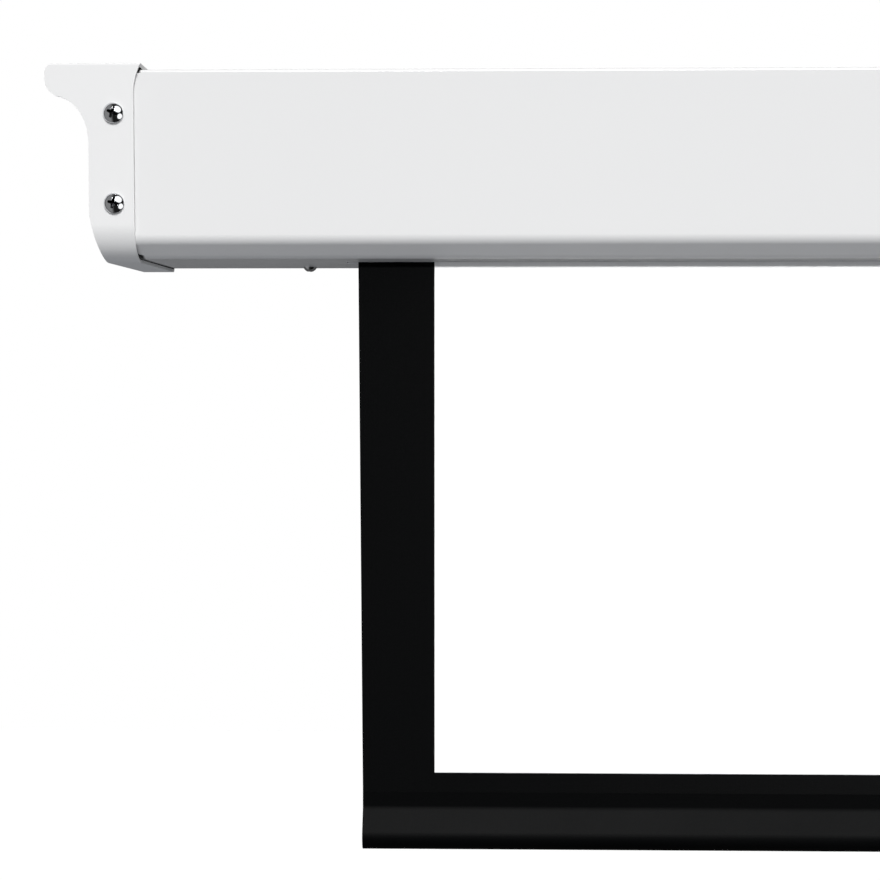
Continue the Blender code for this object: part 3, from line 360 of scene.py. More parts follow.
def revolved(profile, centre, count, rim=None):
    """A profile of (x, radius) turned about an axis along X through centre (y, z).

    Point (i, j) lies at the profile's place i and the angle 2 pi j / count.  rim, if given,
    changes the radius by the place and the angle.
    """
    profile = np.asarray(profile, float)
    angle = 2 * np.pi * np.arange(count) / count
    along, around = np.meshgrid(profile[:, 0], angle, indexing="ij")
    radius = np.broadcast_to(profile[:, 1:], along.shape)
    if rim:
        radius = rim(along, radius, around)
    return np.stack([along, centre[0] + radius * np.cos(around),
                     centre[1] + radius * np.sin(around)], axis=-1)


def smooth_step(low, high, value):
    """0 below low and 1 above high, with an even ease between."""
    share = np.clip((value - low) / (high - low), 0, 1)
    return share * share * (3 - 2 * share)


def softened(profile, radius, steps=4):
    """An open profile with its inner corners rounded, by curves that start a radius away from the corner.

    Point s of a corner's curve is start (1 - s) squared + 2 corner s (1 - s) + end s squared, and the
    radius is less where it doesn't fit.
    """
    profile = np.asarray(profile, float)
    before = profile[:-2] - profile[1:-1]
    after = profile[2:] - profile[1:-1]
    room = np.minimum(np.linalg.norm(before, axis=1), np.linalg.norm(after, axis=1)) * 0.45
    reach = np.minimum(radius, room)[:, None]
    start = profile[1:-1] + before / np.linalg.norm(before, axis=1, keepdims=True) * reach
    end = profile[1:-1] + after / np.linalg.norm(after, axis=1, keepdims=True) * reach
    share = np.linspace(0, 1, steps + 1)[None, :, None]
    corner = profile[1:-1][:, None]
    bend = start[:, None] * (1 - share) ** 2 + 2 * corner * share * (1 - share) + end[:, None] * share ** 2
    return np.concatenate([profile[:1], bend.reshape(-1, 2), profile[-1:]])


# Shader node groups and finishes

def add_node(tree, kind, settings=None, **sockets):
    """A node with its settings, and its input sockets set to numbers or linked to outputs."""
    node = tree.nodes.new(kind)
    for name, value in (settings or {}).items():
        setattr(node, name, value)
    for name, value in sockets.items():
        socket = node.inputs[int(name[1:])] if name[0] == "_" else node.inputs[name.replace("_", " ")]
        if isinstance(value, bpy.types.NodeSocket):
            tree.links.new(value, socket)
        else:
            socket.default_value = value
    return node


def math_node(tree, operation, first, second=0.5):
    """The result of a sum on two values."""
    return add_node(tree, "ShaderNodeMath", {"operation": operation}, _0=first, _1=second).outputs[0]


def vector_node(tree, operation, first, **sockets):
    """The result of a sum on vectors."""
    return add_node(tree, "ShaderNodeVectorMath", {"operation": operation}, _0=first, **sockets).outputs


def axes(tree, vector):
    """The X, Y and Z of a vector."""
    return add_node(tree, "ShaderNodeSeparateXYZ", Vector=vector).outputs


def noise(tree, place, scale, detail, roughness=0.5):
    """Cloudy noise from 0 to 1, with finer layers by its detail, each weaker by its roughness."""
    return add_node(tree, "ShaderNodeTexNoise", Vector=place, Scale=scale, Detail=detail,
                    Roughness=roughness).outputs["Fac"]


def mixed(tree, kind, mask, low, high):
    """One of two values or colours by a mask, each a number, a colour or another node's output."""
    first, output = (6, 2) if kind == "RGBA" else (2, 0)
    sockets = {"_0": mask, f"_{first}": low, f"_{first + 1}": high}
    return add_node(tree, "ShaderNodeMix", {"data_type": kind}, **sockets).outputs[output]


def spread(tree, mask, low, high):
    """A value that runs from low to high as a mask runs from 0 to 1."""
    return add_node(tree, "ShaderNodeMapRange", Value=mask, _3=low, _4=high).outputs[0]


def level_mask(tree, value, low, high, interpolation="SMOOTHSTEP"):
    """A mask that rises from 0 to 1 between two values."""
    return add_node(tree, "ShaderNodeMapRange", {"interpolation_type": interpolation}, Value=value, _1=low,
                    _2=high).outputs[0]


def between(tree, value, low, high, edge):
    """1 where a value lies between two limits, with a narrow ramp at each."""
    rise, fall = (level_mask(tree, value, limit - edge, limit + edge, "LINEAR") for limit in (low, high))
    return math_node(tree, "SUBTRACT", rise, fall)


def new_group(name, inputs, outputs):
    """A shader node group, with its inputs given as name: default, and its outputs as name: kind.

    A default of one number makes a value, three numbers or None a vector, and four a colour.
    """
    group = bpy.data.node_groups.new(name, "ShaderNodeTree")
    for title, default in inputs.items():
        kind = {1: "Float", 3: "Vector", 4: "Color"}[3 if default is None else np.size(default)]
        socket = group.interface.new_socket(title, in_out="INPUT", socket_type="NodeSocket" + kind)
        if default is not None:
            socket.default_value = default
    for title, kind in outputs.items():
        group.interface.new_socket(title, in_out="OUTPUT", socket_type="NodeSocket" + kind)
    source = group.nodes.new("NodeGroupInput")
    target = group.nodes.new("NodeGroupOutput")
    return group, source.outputs, target.inputs


def grain_group():
    """Moulded or sprayed surface: fine bumps with a coarser swell under them."""
    group, given, made = new_group("surface_grain", {"Vector": None, "Scale": 900.0, "Swell": 0.4},
                                   {"Height": "Float"})
    fine = noise(group, given["Vector"], given["Scale"], 2.0, 0.55)
    coarse = noise(group, given["Vector"], math_node(group, "MULTIPLY", given["Scale"], 0.21), 1.0)
    swell = math_node(group, "MULTIPLY", coarse, given["Swell"])
    group.links.new(math_node(group, "ADD", fine, swell), made["Height"])
    return group


def drift_group():
    """Slow changes of tone over a surface, as handling, dust and the making leave."""
    group, given, made = new_group(
        "tone_drift", {"Vector": None, "Colour": (1, 1, 1, 1), "Scale": 6.0, "Drift": 0.03},
        {"Colour": "Color", "Mask": "Float"})
    wide = noise(group, given["Vector"], given["Scale"], 3.0, 0.6)
    darker = math_node(group, "MULTIPLY", wide, given["Drift"])
    level = math_node(group, "SUBTRACT", 1.0, darker)
    group.links.new(vector_node(group, "SCALE", given["Colour"], Scale=level)[0], made["Colour"])
    group.links.new(wide, made["Mask"])
    return group


def weave_group():
    """Coated plain weave: warp and weft ridges that pass over each other in turn.

    With a and b the place in thread pitches, the height is the larger of the two threads'
    half sines, each raised where the thread passes over.
    """
    group, given, made = new_group("coated_weave", {"Vector": None, "Pitch": 0.0005}, {"Height": "Float"})
    per_metre = math_node(group, "DIVIDE", math.pi, given["Pitch"])
    place = vector_node(group, "SCALE", given["Vector"], Scale=per_metre)[0]
    split = axes(group, place)
    ridges = []
    for across, along in ((0, 1), (1, 0)):
        thread = math_node(group, "ABSOLUTE", math_node(group, "SINE", split[across]))
        swing = math_node(group, "SINE", split[along])
        raised = math_node(group, "ADD", math_node(group, "MULTIPLY", swing, 0.35), 0.65)
        ridges.append(math_node(group, "MULTIPLY", thread, raised))
    group.links.new(math_node(group, "MAXIMUM", *ridges), made["Height"])
    return group


def streak_group():
    """Fine lines left by drawing, grinding or turning, along one direction."""
    group, given, made = new_group(
        "tool_lines", {"Vector": None, "Stretch": (30.0, 2500.0, 2500.0), "Blotch": 60.0},
        {"Height": "Float", "Mask": "Float"})
    drawn = vector_node(group, "MULTIPLY", given["Vector"], _1=given["Stretch"])[0]
    lines = noise(group, drawn, 1.0, 2.0)
    blotch = add_node(group, "ShaderNodeTexVoronoi", Vector=given["Vector"], Scale=given["Blotch"])
    tone = add_node(group, "ShaderNodeSeparateColor", Color=blotch.outputs["Color"])
    mask = math_node(group, "ADD", math_node(group, "MULTIPLY", lines, 0.6),
                     math_node(group, "MULTIPLY", tone.outputs[0], 0.4))
    group.links.new(lines, made["Height"])
    group.links.new(mask, made["Mask"])
    return group


def soft_window(tree, direction, window):
    """A round window as (centre, inner, outer): 1 within the inner angle, 0 beyond the outer, in degrees."""
    centre, inner, outer = window
    facing = vector_node(tree, "DOT_PRODUCT", direction, _1=Vector(centre).normalized())["Value"]
    return level_mask(tree, facing, math.cos(math.radians(outer)), math.cos(math.radians(inner)))


def room_group():
    """What gloss mirrors in a direction: an even level behind, grey at the left, dark in front, two windows.

    The upper window is seen up to the right in front, the other down to the right.
    """
    group, given, made = new_group(
        "mirrored_room", {"Direction": None, "Left": 0.3, "Front": 0.02, "Back": 0.3}, {"Level": "Float"})
    upper, lower = ((0.54, -0.60, 0.59), 27, 33), ((0.82, -0.40, -0.40), 19, 25)
    brightness = 1.6
    direction = vector_node(group, "NORMALIZE", given["Direction"])[0]
    split = axes(group, direction)
    right = level_mask(group, split[0], -0.5, -0.05)
    behind = level_mask(group, split[1], -0.03, 0.03)
    either = math_node(group, "MAXIMUM", soft_window(group, direction, upper),
                       soft_window(group, direction, lower))
    windows = math_node(group, "MULTIPLY", either, brightness)
    ahead = math_node(group, "MAXIMUM", spread(group, right, given["Left"], given["Front"]), windows)
    group.links.new(spread(group, behind, ahead, given["Back"]), made["Level"])
    return group


GROUP_MAKERS = {"surface_grain": grain_group, "tone_drift": drift_group, "coated_weave": weave_group,
                "tool_lines": streak_group, "mirrored_room": room_group}


def use_group(tree, name, **sockets):
    """Place a shared node group, made the first time that it is used, in a material."""
    group = bpy.data.node_groups.get(name) or GROUP_MAKERS[name]()
    return add_node(tree, "ShaderNodeGroup", {"node_tree": group}, **sockets).outputs


def start_finish(name, roughness, metallic=0.0, specular=0.5):
    """A material, with its node tree and its shader's inputs."""
    made = bpy.data.materials.new(name)
    made.use_nodes = True
    tree = made.node_tree
    inputs = tree.nodes["Principled BSDF"].inputs
    inputs["Roughness"].default_value = roughness
    inputs["Metallic"].default_value = metallic
    inputs["Specular IOR Level"].default_value = specular
    return made, tree, inputs


def object_place(tree):
    """The place on the object."""
    return tree.nodes.new("ShaderNodeTexCoord").outputs["Object"]


def finish_surface(tree, inputs, tone, roughness, height, depth):
    """Link a finish's colour and roughness, and let its height stand out by a depth in metres."""
    tree.links.new(tone, inputs["Base Color"])
    tree.links.new(roughness, inputs["Roughness"])
    bump = add_node(tree, "ShaderNodeBump", Height=height, Distance=depth, Strength=1.0)
    tree.links.new(bump.outputs[0], inputs["Normal"])


def shaded(tree, tone, mask):
    """A colour that goes nearly black where a mask says that light hardly reaches."""
    nearly_black = (0.01, 0.01, 0.011, 1)
    return mixed(tree, "RGBA", mask, tone, nearly_black)


def recess_shade_mask(tree):
    """The attribute recess of a piece, 1 where it is hollow: the mask of the painted shade there."""
    return add_node(tree, "ShaderNodeAttribute", {"attribute_name": "recess"}).outputs["Fac"]


def pocket_shade_mask(tree, place, covered):
    """1 beyond covered metres from the middle, in the brackets' pockets: the mask of the painted shade there.

    At the top and underneath the painted shade starts a little before the pocket.
    """
    near_bottom, early_under = (-77.3 * MM, -76.3 * MM), 2.4 * MM
    near_top, early_above = (-4.2 * MM, -3.6 * MM), 3.2 * MM
    split = axes(tree, place)
    under = spread(tree, level_mask(tree, split[2], *near_bottom), early_under, 0.0)
    above = spread(tree, level_mask(tree, split[2], *near_top), 0.0, early_above)
    early = math_node(tree, "ADD", under, above)
    out = math_node(tree, "ADD", math_node(tree, "ABSOLUTE", split[0]), early)
    return level_mask(tree, out, covered - 0.4 * MM, covered + 0.8 * MM)


def coated_finish(name, tint, roughness, scale, depth, drift=0.03, covered=None):
    """Powder coat or moulded plastic: grain, a little sheen change and slow changes of tone.

    It has painted shade, nearly black, in the brackets' pockets, by the distance covered or else by the
    attribute recess.
    """
    made, tree, inputs = start_finish(name, roughness)
    place = object_place(tree)
    grain = use_group(tree, "surface_grain", Vector=place, Scale=scale, Swell=0.5)
    tone = use_group(tree, "tone_drift", Vector=place, Colour=(*tint, 1), Scale=7.0, Drift=drift)
    # painted shade: nearly black where the brackets cover the casing, and on the pockets' walls
    shade_mask = pocket_shade_mask(tree, place, covered) if covered else recess_shade_mask(tree)
    finish_surface(tree, inputs, shaded(tree, tone["Colour"], shade_mask),
                   spread(tree, tone["Mask"], roughness - 0.05, roughness + 0.06), grain["Height"], depth)
    return made


def metal_finish(name, tint, low_roughness, high_roughness, stretch, blotch, depth, drift=0.12):
    """Plated or ground metal: tool lines, with blotches in its sheen, and painted shade, nearly black, in a
    screw's recess.
    """
    made, tree, inputs = start_finish(name, high_roughness, metallic=1.0)
    place = object_place(tree)
    lines = use_group(tree, "tool_lines", Vector=place, Stretch=stretch, Blotch=blotch)
    tone = use_group(tree, "tone_drift", Vector=place, Colour=(*tint, 1), Scale=40.0, Drift=drift)
    finish_surface(tree, inputs, shaded(tree, tone["Colour"], recess_shade_mask(tree)),
                   spread(tree, lines["Mask"], low_roughness, high_roughness), lines["Height"], depth)
    return made


def cloth_finish(name, black, pitch, white=None, picture=None, bounce=1.0):
    """Coated projection fabric, black but for a picture area (left, right, low, high) in its UV map.

    The white of the picture throws only the share bounce of the light on what stands near it.
    """
    made, tree, inputs = start_finish(name, 0.6, specular=0.065)
    uv = add_node(tree, "ShaderNodeUVMap", {"uv_map": "surface"}).outputs[0]
    weave = use_group(tree, "coated_weave", Vector=uv, Pitch=pitch)
    paint = use_group(tree, "tone_drift", Vector=uv, Colour=(*black, 1), Scale=9.0, Drift=0.35)
    tone, roughness = paint["Colour"], spread(tree, paint["Mask"], 0.5, 0.62)
    if picture:
        left, right, low, high = picture
        split, edge = axes(tree, uv), 0.12 * MM
        inside = math_node(tree, "MULTIPLY", between(tree, split[0], left, right, edge),
                           between(tree, split[1], low, high, edge))
        matt = use_group(tree, "tone_drift", Vector=uv, Colour=(*white, 1), Scale=3.0, Drift=0.012)
        seen = tree.nodes.new("ShaderNodeLightPath").outputs["Is Camera Ray"]
        dimmed = mixed(tree, "RGBA", seen, (bounce, bounce, bounce, 1), matt["Colour"])
        tone = mixed(tree, "RGBA", inside, tone, dimmed)
        roughness = mixed(tree, "FLOAT", inside, roughness, 0.9)
    finish_surface(tree, inputs, tone, roughness, weave["Height"], 0.02 * MM)
    return made


FINISHES = {}


class PROJECTION_OT_finishes(bpy.types.Operator):
    """Make the finishes of every piece"""
    bl_idname = "projection.make_finishes"
    bl_label = "Finishes"

    def execute(self, context):
        """One material for each finish.

        Coated ones: tint, roughness, grain per metre, its depth and the drift of the tone.  Metals:
        tint, least and most roughness, lines per metre along X, Y and Z, blotches, depth and drift.
        """
        sizes = context.scene.screen_sizes
        tints = context.scene.screen_colours
        across = FABRIC_HIGH.x - FABRIC_LOW.x
        picture = (sizes.side_border, across - sizes.side_border,
                   FABRIC_HIGH.z - sizes.top_band_end, FABRIC_HIGH.z - sizes.border_top)
        # beyond this distance from the middle the powder coat gets painted shade, under the brackets
        covered = RIGHT_END - sizes.ear_reach - sizes.flange_width + 0.3 * MM
        FINISHES.update({
            "powder": coated_finish("powder_coat", tints.powder_white, 0.17, 620.0, 0.02 * MM,
                                    covered=covered),
            "moulded": coated_finish("moulded_white", tints.moulded_white, 0.6, 1500.0, 0.02 * MM),
            "black": coated_finish("moulded_black", tints.moulded_black, 0.5, 1800.0, 0.03 * MM, 0.2),
            "grey": coated_finish("moulded_grey", tints.moulded_grey, 0.5, 1800.0, 0.03 * MM, 0.1),
            "sheath": coated_finish("cable_sheath", tints.moulded_black, 0.55, 2500.0, 0.03 * MM, 0.2),
            "board": coated_finish("board_lacquer", tints.board_green, 0.35, 900.0, 0.02 * MM, 0.2),
            "chrome": metal_finish("chrome_plate", tints.chrome, 0.05, 0.12, (400.0, 400.0, 400.0), 500.0,
                                   0.0006 * MM, 0.05),
            "zinc": metal_finish("zinc_plate", tints.zinc, 0.26, 0.42, (60.0, 1500.0, 1500.0), 220.0,
                                 0.004 * MM),
            "ground": metal_finish("ground_steel", tints.zinc, 0.18, 0.3, (2500.0, 60.0, 60.0), 150.0,
                                   0.003 * MM),
            "screen": cloth_finish("screen_front", tints.cloth_black, sizes.weave_pitch, tints.cloth_white,
                                   picture, context.scene.screen_stage.cloth_bounce),
            "backing": cloth_finish("screen_black_coat", tints.cloth_black, sizes.weave_pitch),
        })
        return {"FINISHED"}


# Pieces

class PROJECTION_OT_casing(bpy.types.Operator):
    """Make the folded sheet casing with its slot"""
    bl_idname = "projection.make_casing"
    bl_label = "Casing"

    def execute(self, context):
        """The section is carried along X, and its lips only along the slot."""
        sizes = context.scene.screen_sizes
        steps = sizes.arc_steps
        front, rear = CASING_LOW.y, CASING_HIGH.y
        bottom, top = CASING_LOW.z, CASING_HIGH.z - sizes.top_gap
        slot_rear = sizes.slot_front + sizes.slot_width
        lip_top = bottom + sizes.sheet_wall + sizes.slot_lip
        strip_run, strip_rise = sizes.strip
        strip_foot, strip_head, top_front, behind = sizes.casing_folds
        section = rounded_outline([
            (sizes.slot_front, lip_top, 0), (sizes.slot_front, bottom, sizes.fold_radius),
            (front + strip_run, bottom, strip_foot), (front, bottom + strip_rise, strip_head),
            (front, top, top_front), (rear, top, behind), (rear, bottom, behind),
            (slot_rear, bottom, sizes.fold_radius), (slot_rear, lip_top, 0),
        ], steps)
        stations = [CASING_LOW.x, -sizes.slot_half, sizes.slot_half, CASING_HIGH.x]
        points = carried(section, stations)
        faces = grid_faces(len(stations), len(section)).reshape(len(stations) - 1, -1, 4)
        lip_rows = 2 * (steps + 1) - 1
        body = faces[:, lip_rows:-lip_rows].reshape(-1, 4)
        lips = np.concatenate([faces[1, :lip_rows], faces[1, -lip_rows:]])
        shell = grid_mesh("shell", points, np.concatenate([body, lips]))
        floors = []
        for pair in (stations[:2], stations[2:]):
            floors.append(grid_mesh("floor", carried(section[[-lip_rows - 1, lip_rows]], pair)))
        mesh = merged([shell, *floors], "casing_shell", closed=False)
        casing = solidified(new_object("casing_shell", mesh), sizes.sheet_wall)
        dress(casing, "powder", "root", "casing")
        return {"FINISHED"}


def bracket_section(sizes, corner, wall=0.0):
    """The bracket's section as (y, z), moved in by a wall.

    Its lower front corner is a quarter of an ellipse, the other three corners are arcs.
    """
    front, rear, bottom = LEFT_LOW.y + wall, LEFT_HIGH.y - wall, LEFT_LOW.z + wall
    least = 0.3 * MM
    upper, small = (max(radius - wall, least) for radius in sizes.bracket_radius)
    depth, height = (size - wall for size in corner)
    steps = sizes.arc_steps
    return np.concatenate([
        arc((front + upper, -wall - upper), (upper, upper), 90, 180, steps // 2),
        arc((front + depth, bottom + height), (depth, height), 180, 270, 4 * steps),
        arc((rear - small, bottom + small), (small, small), 270, 360, steps),
        arc((rear - small, -wall - small), (small, small), 0, 90, steps),
    ])


def mirrored(outline, side, face):
    """An outline given outboard of the end plate, set at the left or the right end."""
    return np.asarray(outline) * [side, 1] + [face, 0]


def bracket_view(sizes):
    """The bracket's front view as (distance outboard of the end plate, z).

    The top corner of the ear and its tip are arcs, and a quarter of an ellipse carries the tip down
    into the end plate.  At the bottom the end plate draws in by the foot's inset times s to the power
    1.3, with s from 0 to 1 over the foot's height.  The edge over the casing flares towards the top.
    """
    above, below = 1 * MM, LEFT_LOW.z - 1 * MM
    corner = tuple(sizes.ear_corner)
    tip, tip_height = sizes.ear_tip
    sweep_reach, sweep_height = sizes.ear_sweep
    sweep_start, tip_end = 70.2, -82
    share = np.linspace(0, 1, 13)
    inset, height = sizes.foot
    flared = -sizes.flange_width - sizes.flange_flare
    return np.concatenate([
        [(flared, above), (sizes.ear_reach - corner[0], above)],
        arc((sizes.ear_reach - corner[0], -corner[1]), corner, 90, 0, 12),
        arc((sizes.ear_reach - tip, tip_height), (tip, tip), 0, tip_end, 20),
        arc((sweep_reach, -sizes.ear_drop), (-sweep_reach, sweep_height), sweep_start, 0, 28),
        np.stack([-inset * share ** 1.3, LEFT_LOW.z + height * (1 - share)], axis=1),
        [(-inset, below), (-sizes.flange_width, below)],
        np.stack([-sizes.flange_width - sizes.flange_flare * share ** 2,
                  sizes.flare_drop * (share - 1)], axis=1),
    ])


def ear_space(sizes):
    """The open space in the ear, seen as the front view is: below the lip it reaches past the outer wall."""
    inner = sizes.ear_reach - sizes.bracket_wall
    past, below = sizes.ear_reach + 1 * MM, -sizes.ear_drop - 10 * MM
    return [(0, -sizes.bracket_wall), (inner, -sizes.bracket_wall), (inner, sizes.ear_lip),
            (past, sizes.ear_lip), (past, below), (0, below)]


def soften_bracket(bracket, sizes, side, face):
    """Round a bracket's sharp edges, most of all the outer ones of its free end over the casing.

    An edge's weight is its radius over the largest one.  At the free end an edge is an outer one
    where a face beside it looks away from the section's middle.
    """
    largest, smallest = sizes.bracket_edge
    middle = Vector((0, 0, LEFT_LOW.z / 2))
    sharp, slack = math.radians(32), 0.3 * MM
    shape = bmesh.new()
    shape.from_mesh(bracket.data)
    weight = shape.edges.layers.float.new("bevel_weight_edge")
    for edge in shape.edges:
        if len(edge.link_faces) != 2 or edge.calc_face_angle() <= sharp:
            continue
        centre = (edge.verts[0].co + edge.verts[1].co) / 2
        free = side * (face - centre.x) > sizes.flange_width - slack
        outward = (centre - middle) * Vector((0, 1, 1))
        outer = free and max(outward.dot(beside.normal) for beside in edge.link_faces) > 0
        edge[weight] = 1.0 if outer else smallest / largest
    shape.to_mesh(bracket.data)
    shape.free()
    softly_edged(bracket, largest, 4, "WEIGHT")
    settled(bracket, 40)


def mark_pocket_shade(bracket, sizes, side, face):
    """Store 1 as the attribute recess on the pocket's walls, which face the section's middle, where the
    finish paints shade nearly black.
    """
    mesh = bracket.data
    count = len(mesh.polygons)
    normal, centre = np.empty(3 * count), np.empty(3 * count)
    mesh.polygons.foreach_get("normal", normal)
    mesh.polygons.foreach_get("center", centre)
    normal, centre = normal.reshape(-1, 3), centre.reshape(-1, 3)
    towards, steepest = -2 * MM, 0.2
    inward = (normal[:, 1:] * (centre[:, 1:] - (0, LEFT_LOW.z / 2))).sum(axis=1) < towards
    inward &= np.abs(normal[:, 0]) < steepest
    deep = side * (face - centre[:, 0]) > sizes.pocket_end
    store_recess(mesh, "FACE", inward & deep)


def store_recess(mesh, domain, values):
    """Store the attribute recess on a mesh's faces or points."""
    stored = mesh.attributes.new("recess", "FLOAT", domain)
    stored.data.foreach_set("value", values.astype(np.float32).ravel())


def keyhole(sizes, x):
    """A keyhole as (x, z): a narrow slot over a round entry for a screw's head."""
    (slot, slot_height), (entry, entry_height) = sizes.key_slot, sizes.key_entry
    return np.concatenate([arc((x, slot_height), (slot, slot), 0, 180, 16),
                           arc((x, entry_height), (entry, entry), 150, 390, 32)])


class PROJECTION_OT_brackets(bpy.types.Operator):
    """Make the two moulded end brackets"""
    bl_idname = "projection.make_brackets"
    bl_label = "End brackets"

    def execute(self, context):
        """Each is its section drawn along, trimmed by the front view, hollowed, drilled and softened."""
        sizes = context.scene.screen_sizes
        wall = sizes.bracket_wall
        front, rear = LEFT_LOW.y, LEFT_HIGH.y
        inset, radius, offset = sizes.ear_hole
        past = 2 * MM
        for hand, side, outer in (("left", -1, LEFT_LOW.x), ("right", 1, RIGHT_END)):
            face = outer - side * sizes.ear_reach
            bracket = prism(f"{hand}_bracket_shell", bracket_section(sizes, sizes.corner),
                            outer + side * past, face - side * 30 * MM, 0)
            view = mirrored(bracket_view(sizes), side, face)
            space = mirrored(ear_space(sizes), side, face)
            pocket = bracket_section(sizes, sizes.pocket_corner, wall)
            hole_x = face + side * inset
            tools = [
                prism("pocket", pocket, face - side * sizes.pocket_end, face - side * 40 * MM, 0),
                prism("space", space, front + wall, rear - wall, 1),
                prism("wall_hole", keyhole(sizes, hole_x), rear - 4 * MM, rear + past, 1),
            ]
            for y in (-offset, offset):
                hole = arc((hole_x, y), (radius, radius), 0, 352.5, 47)
                tools.append(prism("ceiling_hole", hole, -wall - past, past, 2))
            trimmed(bracket, tools, prism("view", view, front - past, rear + past, 1))
            soften_bracket(bracket, sizes, side, face)
            mark_pocket_shade(bracket, sizes, side, face)
            dress(bracket, "moulded", "root", f"{hand}_end_bracket")
        return {"FINISHED"}


def head_surface(head, height, turn, rings=56, count=180):
    """A pan head seen along its axis, as heights over a disc: a spherical cap on a low rim.

    With the cap's height c and its radius R = (head squared + c squared) / 2c, the dome at radius r
    is height - R + root(R squared - r squared).  The cross recess lies within arm of either cross
    line and inside reach; its floor falls towards the middle, and its walls are steep.
    """
    reach, arm, depth = 0.54 * head, 0.15 * head, 0.8 * height
    cap, slope = 0.69 * height, 0.1 * MM
    share = np.linspace(0, 1, rings) ** 0.8
    radius, angle = np.meshgrid(head * share, 2 * np.pi * np.arange(count) / count, indexing="ij")
    across = radius * np.cos(angle - turn)
    along = radius * np.sin(angle - turn)
    ball = (head ** 2 + cap ** 2) / (2 * cap)
    dome = height - ball + np.sqrt(ball ** 2 - radius ** 2)
    arm_width = arm * (1.2 - 0.5 * radius / reach)
    nearest = np.minimum(np.abs(across), np.abs(along))
    inside = smooth_step(-slope, slope, arm_width - nearest) * smooth_step(-slope, slope, reach - radius)
    floor = height - depth * (1 - 0.45 * np.clip(radius / reach, 0, 1))
    heights = dome + inside * (np.minimum(floor, dome) - dome)
    return np.stack([-heights, radius * np.cos(angle), radius * np.sin(angle)], axis=-1), inside


def shank_surface(head, height, shank, length_down, count=180, rings=110):
    """A screw's rim and its threaded shank, which narrows to its point.

    At the distance x down the shank the radius is shank less a saw of the pitch 0.7 mm that
    climbs once round the shank each turn.
    """
    pitch, thread = 0.7 * MM, 0.22 * MM
    angle = 2 * np.pi * np.arange(count) / count
    along = np.concatenate([[-0.31 * height, 0, 0], np.linspace(0.2 * MM, length_down, rings),
                            [length_down + shank]])[:, None]
    base = np.concatenate([[head, head - 0.1 * MM, shank], np.full(rings, shank), [0]])[:, None]
    cut = np.concatenate([[0, 0, 0], np.full(rings, thread), [0]])[:, None]
    radius = base - cut * np.abs((along / pitch - angle / (2 * np.pi)) % 1.0 - 0.5) * 2
    return np.stack([np.broadcast_to(along, radius.shape), radius * np.cos(angle),
                     radius * np.sin(angle)], axis=-1)


def drive_screw(name, node, slot, seat, direction, turn, **measures):
    """A cross-head screw for a node, with its head's seat at a place, driven in a direction.

    Its measures are the radii of its head and shank, its head's height and its length down the shank.
    """
    top, recess = head_surface(measures["head"], measures["height"], math.radians(turn))
    cap = grid_mesh("head", top, wrap_columns=True)
    # the cross recess gets painted shade, nearly black, from the chrome finish
    store_recess(cap, "POINT", recess)
    below = grid_mesh("shank", shank_surface(**measures), wrap_columns=True)
    mesh = merged([cap, below], name)
    turned = Vector((1, 0, 0)).rotation_difference(Vector(direction)).to_matrix().to_4x4()
    mesh.transform(Matrix.Translation(seat) @ turned)
    screw = settled(new_object(name, mesh), 30)
    dress(screw, "chrome", "root", node)


class PROJECTION_OT_screws(bpy.types.Operator):
    """Make the cross-head screws of the brackets and of the inner supports"""
    bl_idname = "projection.make_screws"
    bl_label = "Screws"

    def execute(self, context):
        """Each stands where its node does, seated on the face that it holds."""
        turns = {"left_upper": 22, "left_lower": 14, "right_upper": 51, "right_lower": 37}
        for place, turn in turns.items():
            low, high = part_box(f"{place}_bracket_screw")
            seat = Vector(((low.x + high.x) / 2, LEFT_LOW.y, (low.z + high.z) / 2))
            drive_screw(f"{place}_screw", f"{place}_bracket_screw", "chrome", seat, (0, 1, 0), turn,
                        head=4.1 * MM, height=seat.y - low.y, shank=2 * MM, length_down=7 * MM)
        for place, turn in {"idler_support": 33, "motor_support": 8}.items():
            low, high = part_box(f"{place}_screw")
            seat = Vector(((low.x + high.x) / 2, (low.y + high.y) / 2, CASING_LOW.z))
            drive_screw(f"{place}_bolt", f"{place}_screw", "zinc_steel", seat, (0, 0, 1), turn,
                        head=3.1 * MM, height=seat.z - low.z, shank=1.75 * MM, length_down=4.5 * MM)
        return {"FINISHED"}


def hem_path(sizes, steps=40):
    """The hem's path as (y, z), a teardrop: down the front, round the bar and up the back.

    The round part is an arc, which the straight sides meet at the arc cosine of its radius over the
    hem line's height above its centre.
    """
    low, high, (centre_y, centre_z) = box_axis("weight_bar")
    clearance, gap = 0.3 * MM, sizes.cloth
    outer = (high.z - low.z) / 2 + clearance + gap
    touch = math.degrees(math.acos(outer / (sizes.hem_line - centre_z)))
    round_part = arc((centre_y, centre_z), (outer, outer), 90 + touch, 450 - touch, steps)
    rows = np.linspace(0, 1, 7)[:, None]
    top = np.array([centre_y - gap, HEM_HIGH.z])
    neck = np.array([centre_y - gap, sizes.hem_line])
    front = np.concatenate([top + rows * (neck - top), neck + rows[1:-1] * (round_part[0] - neck)])
    back = front[::-1] * [-1, 1] + [2 * centre_y, 0]
    return np.concatenate([front, round_part, back])


def path_length(path):
    """The distance along a path at each of its points."""
    steps = np.linalg.norm(np.diff(path, axis=0), axis=1)
    return np.concatenate([[0], np.cumsum(steps)])


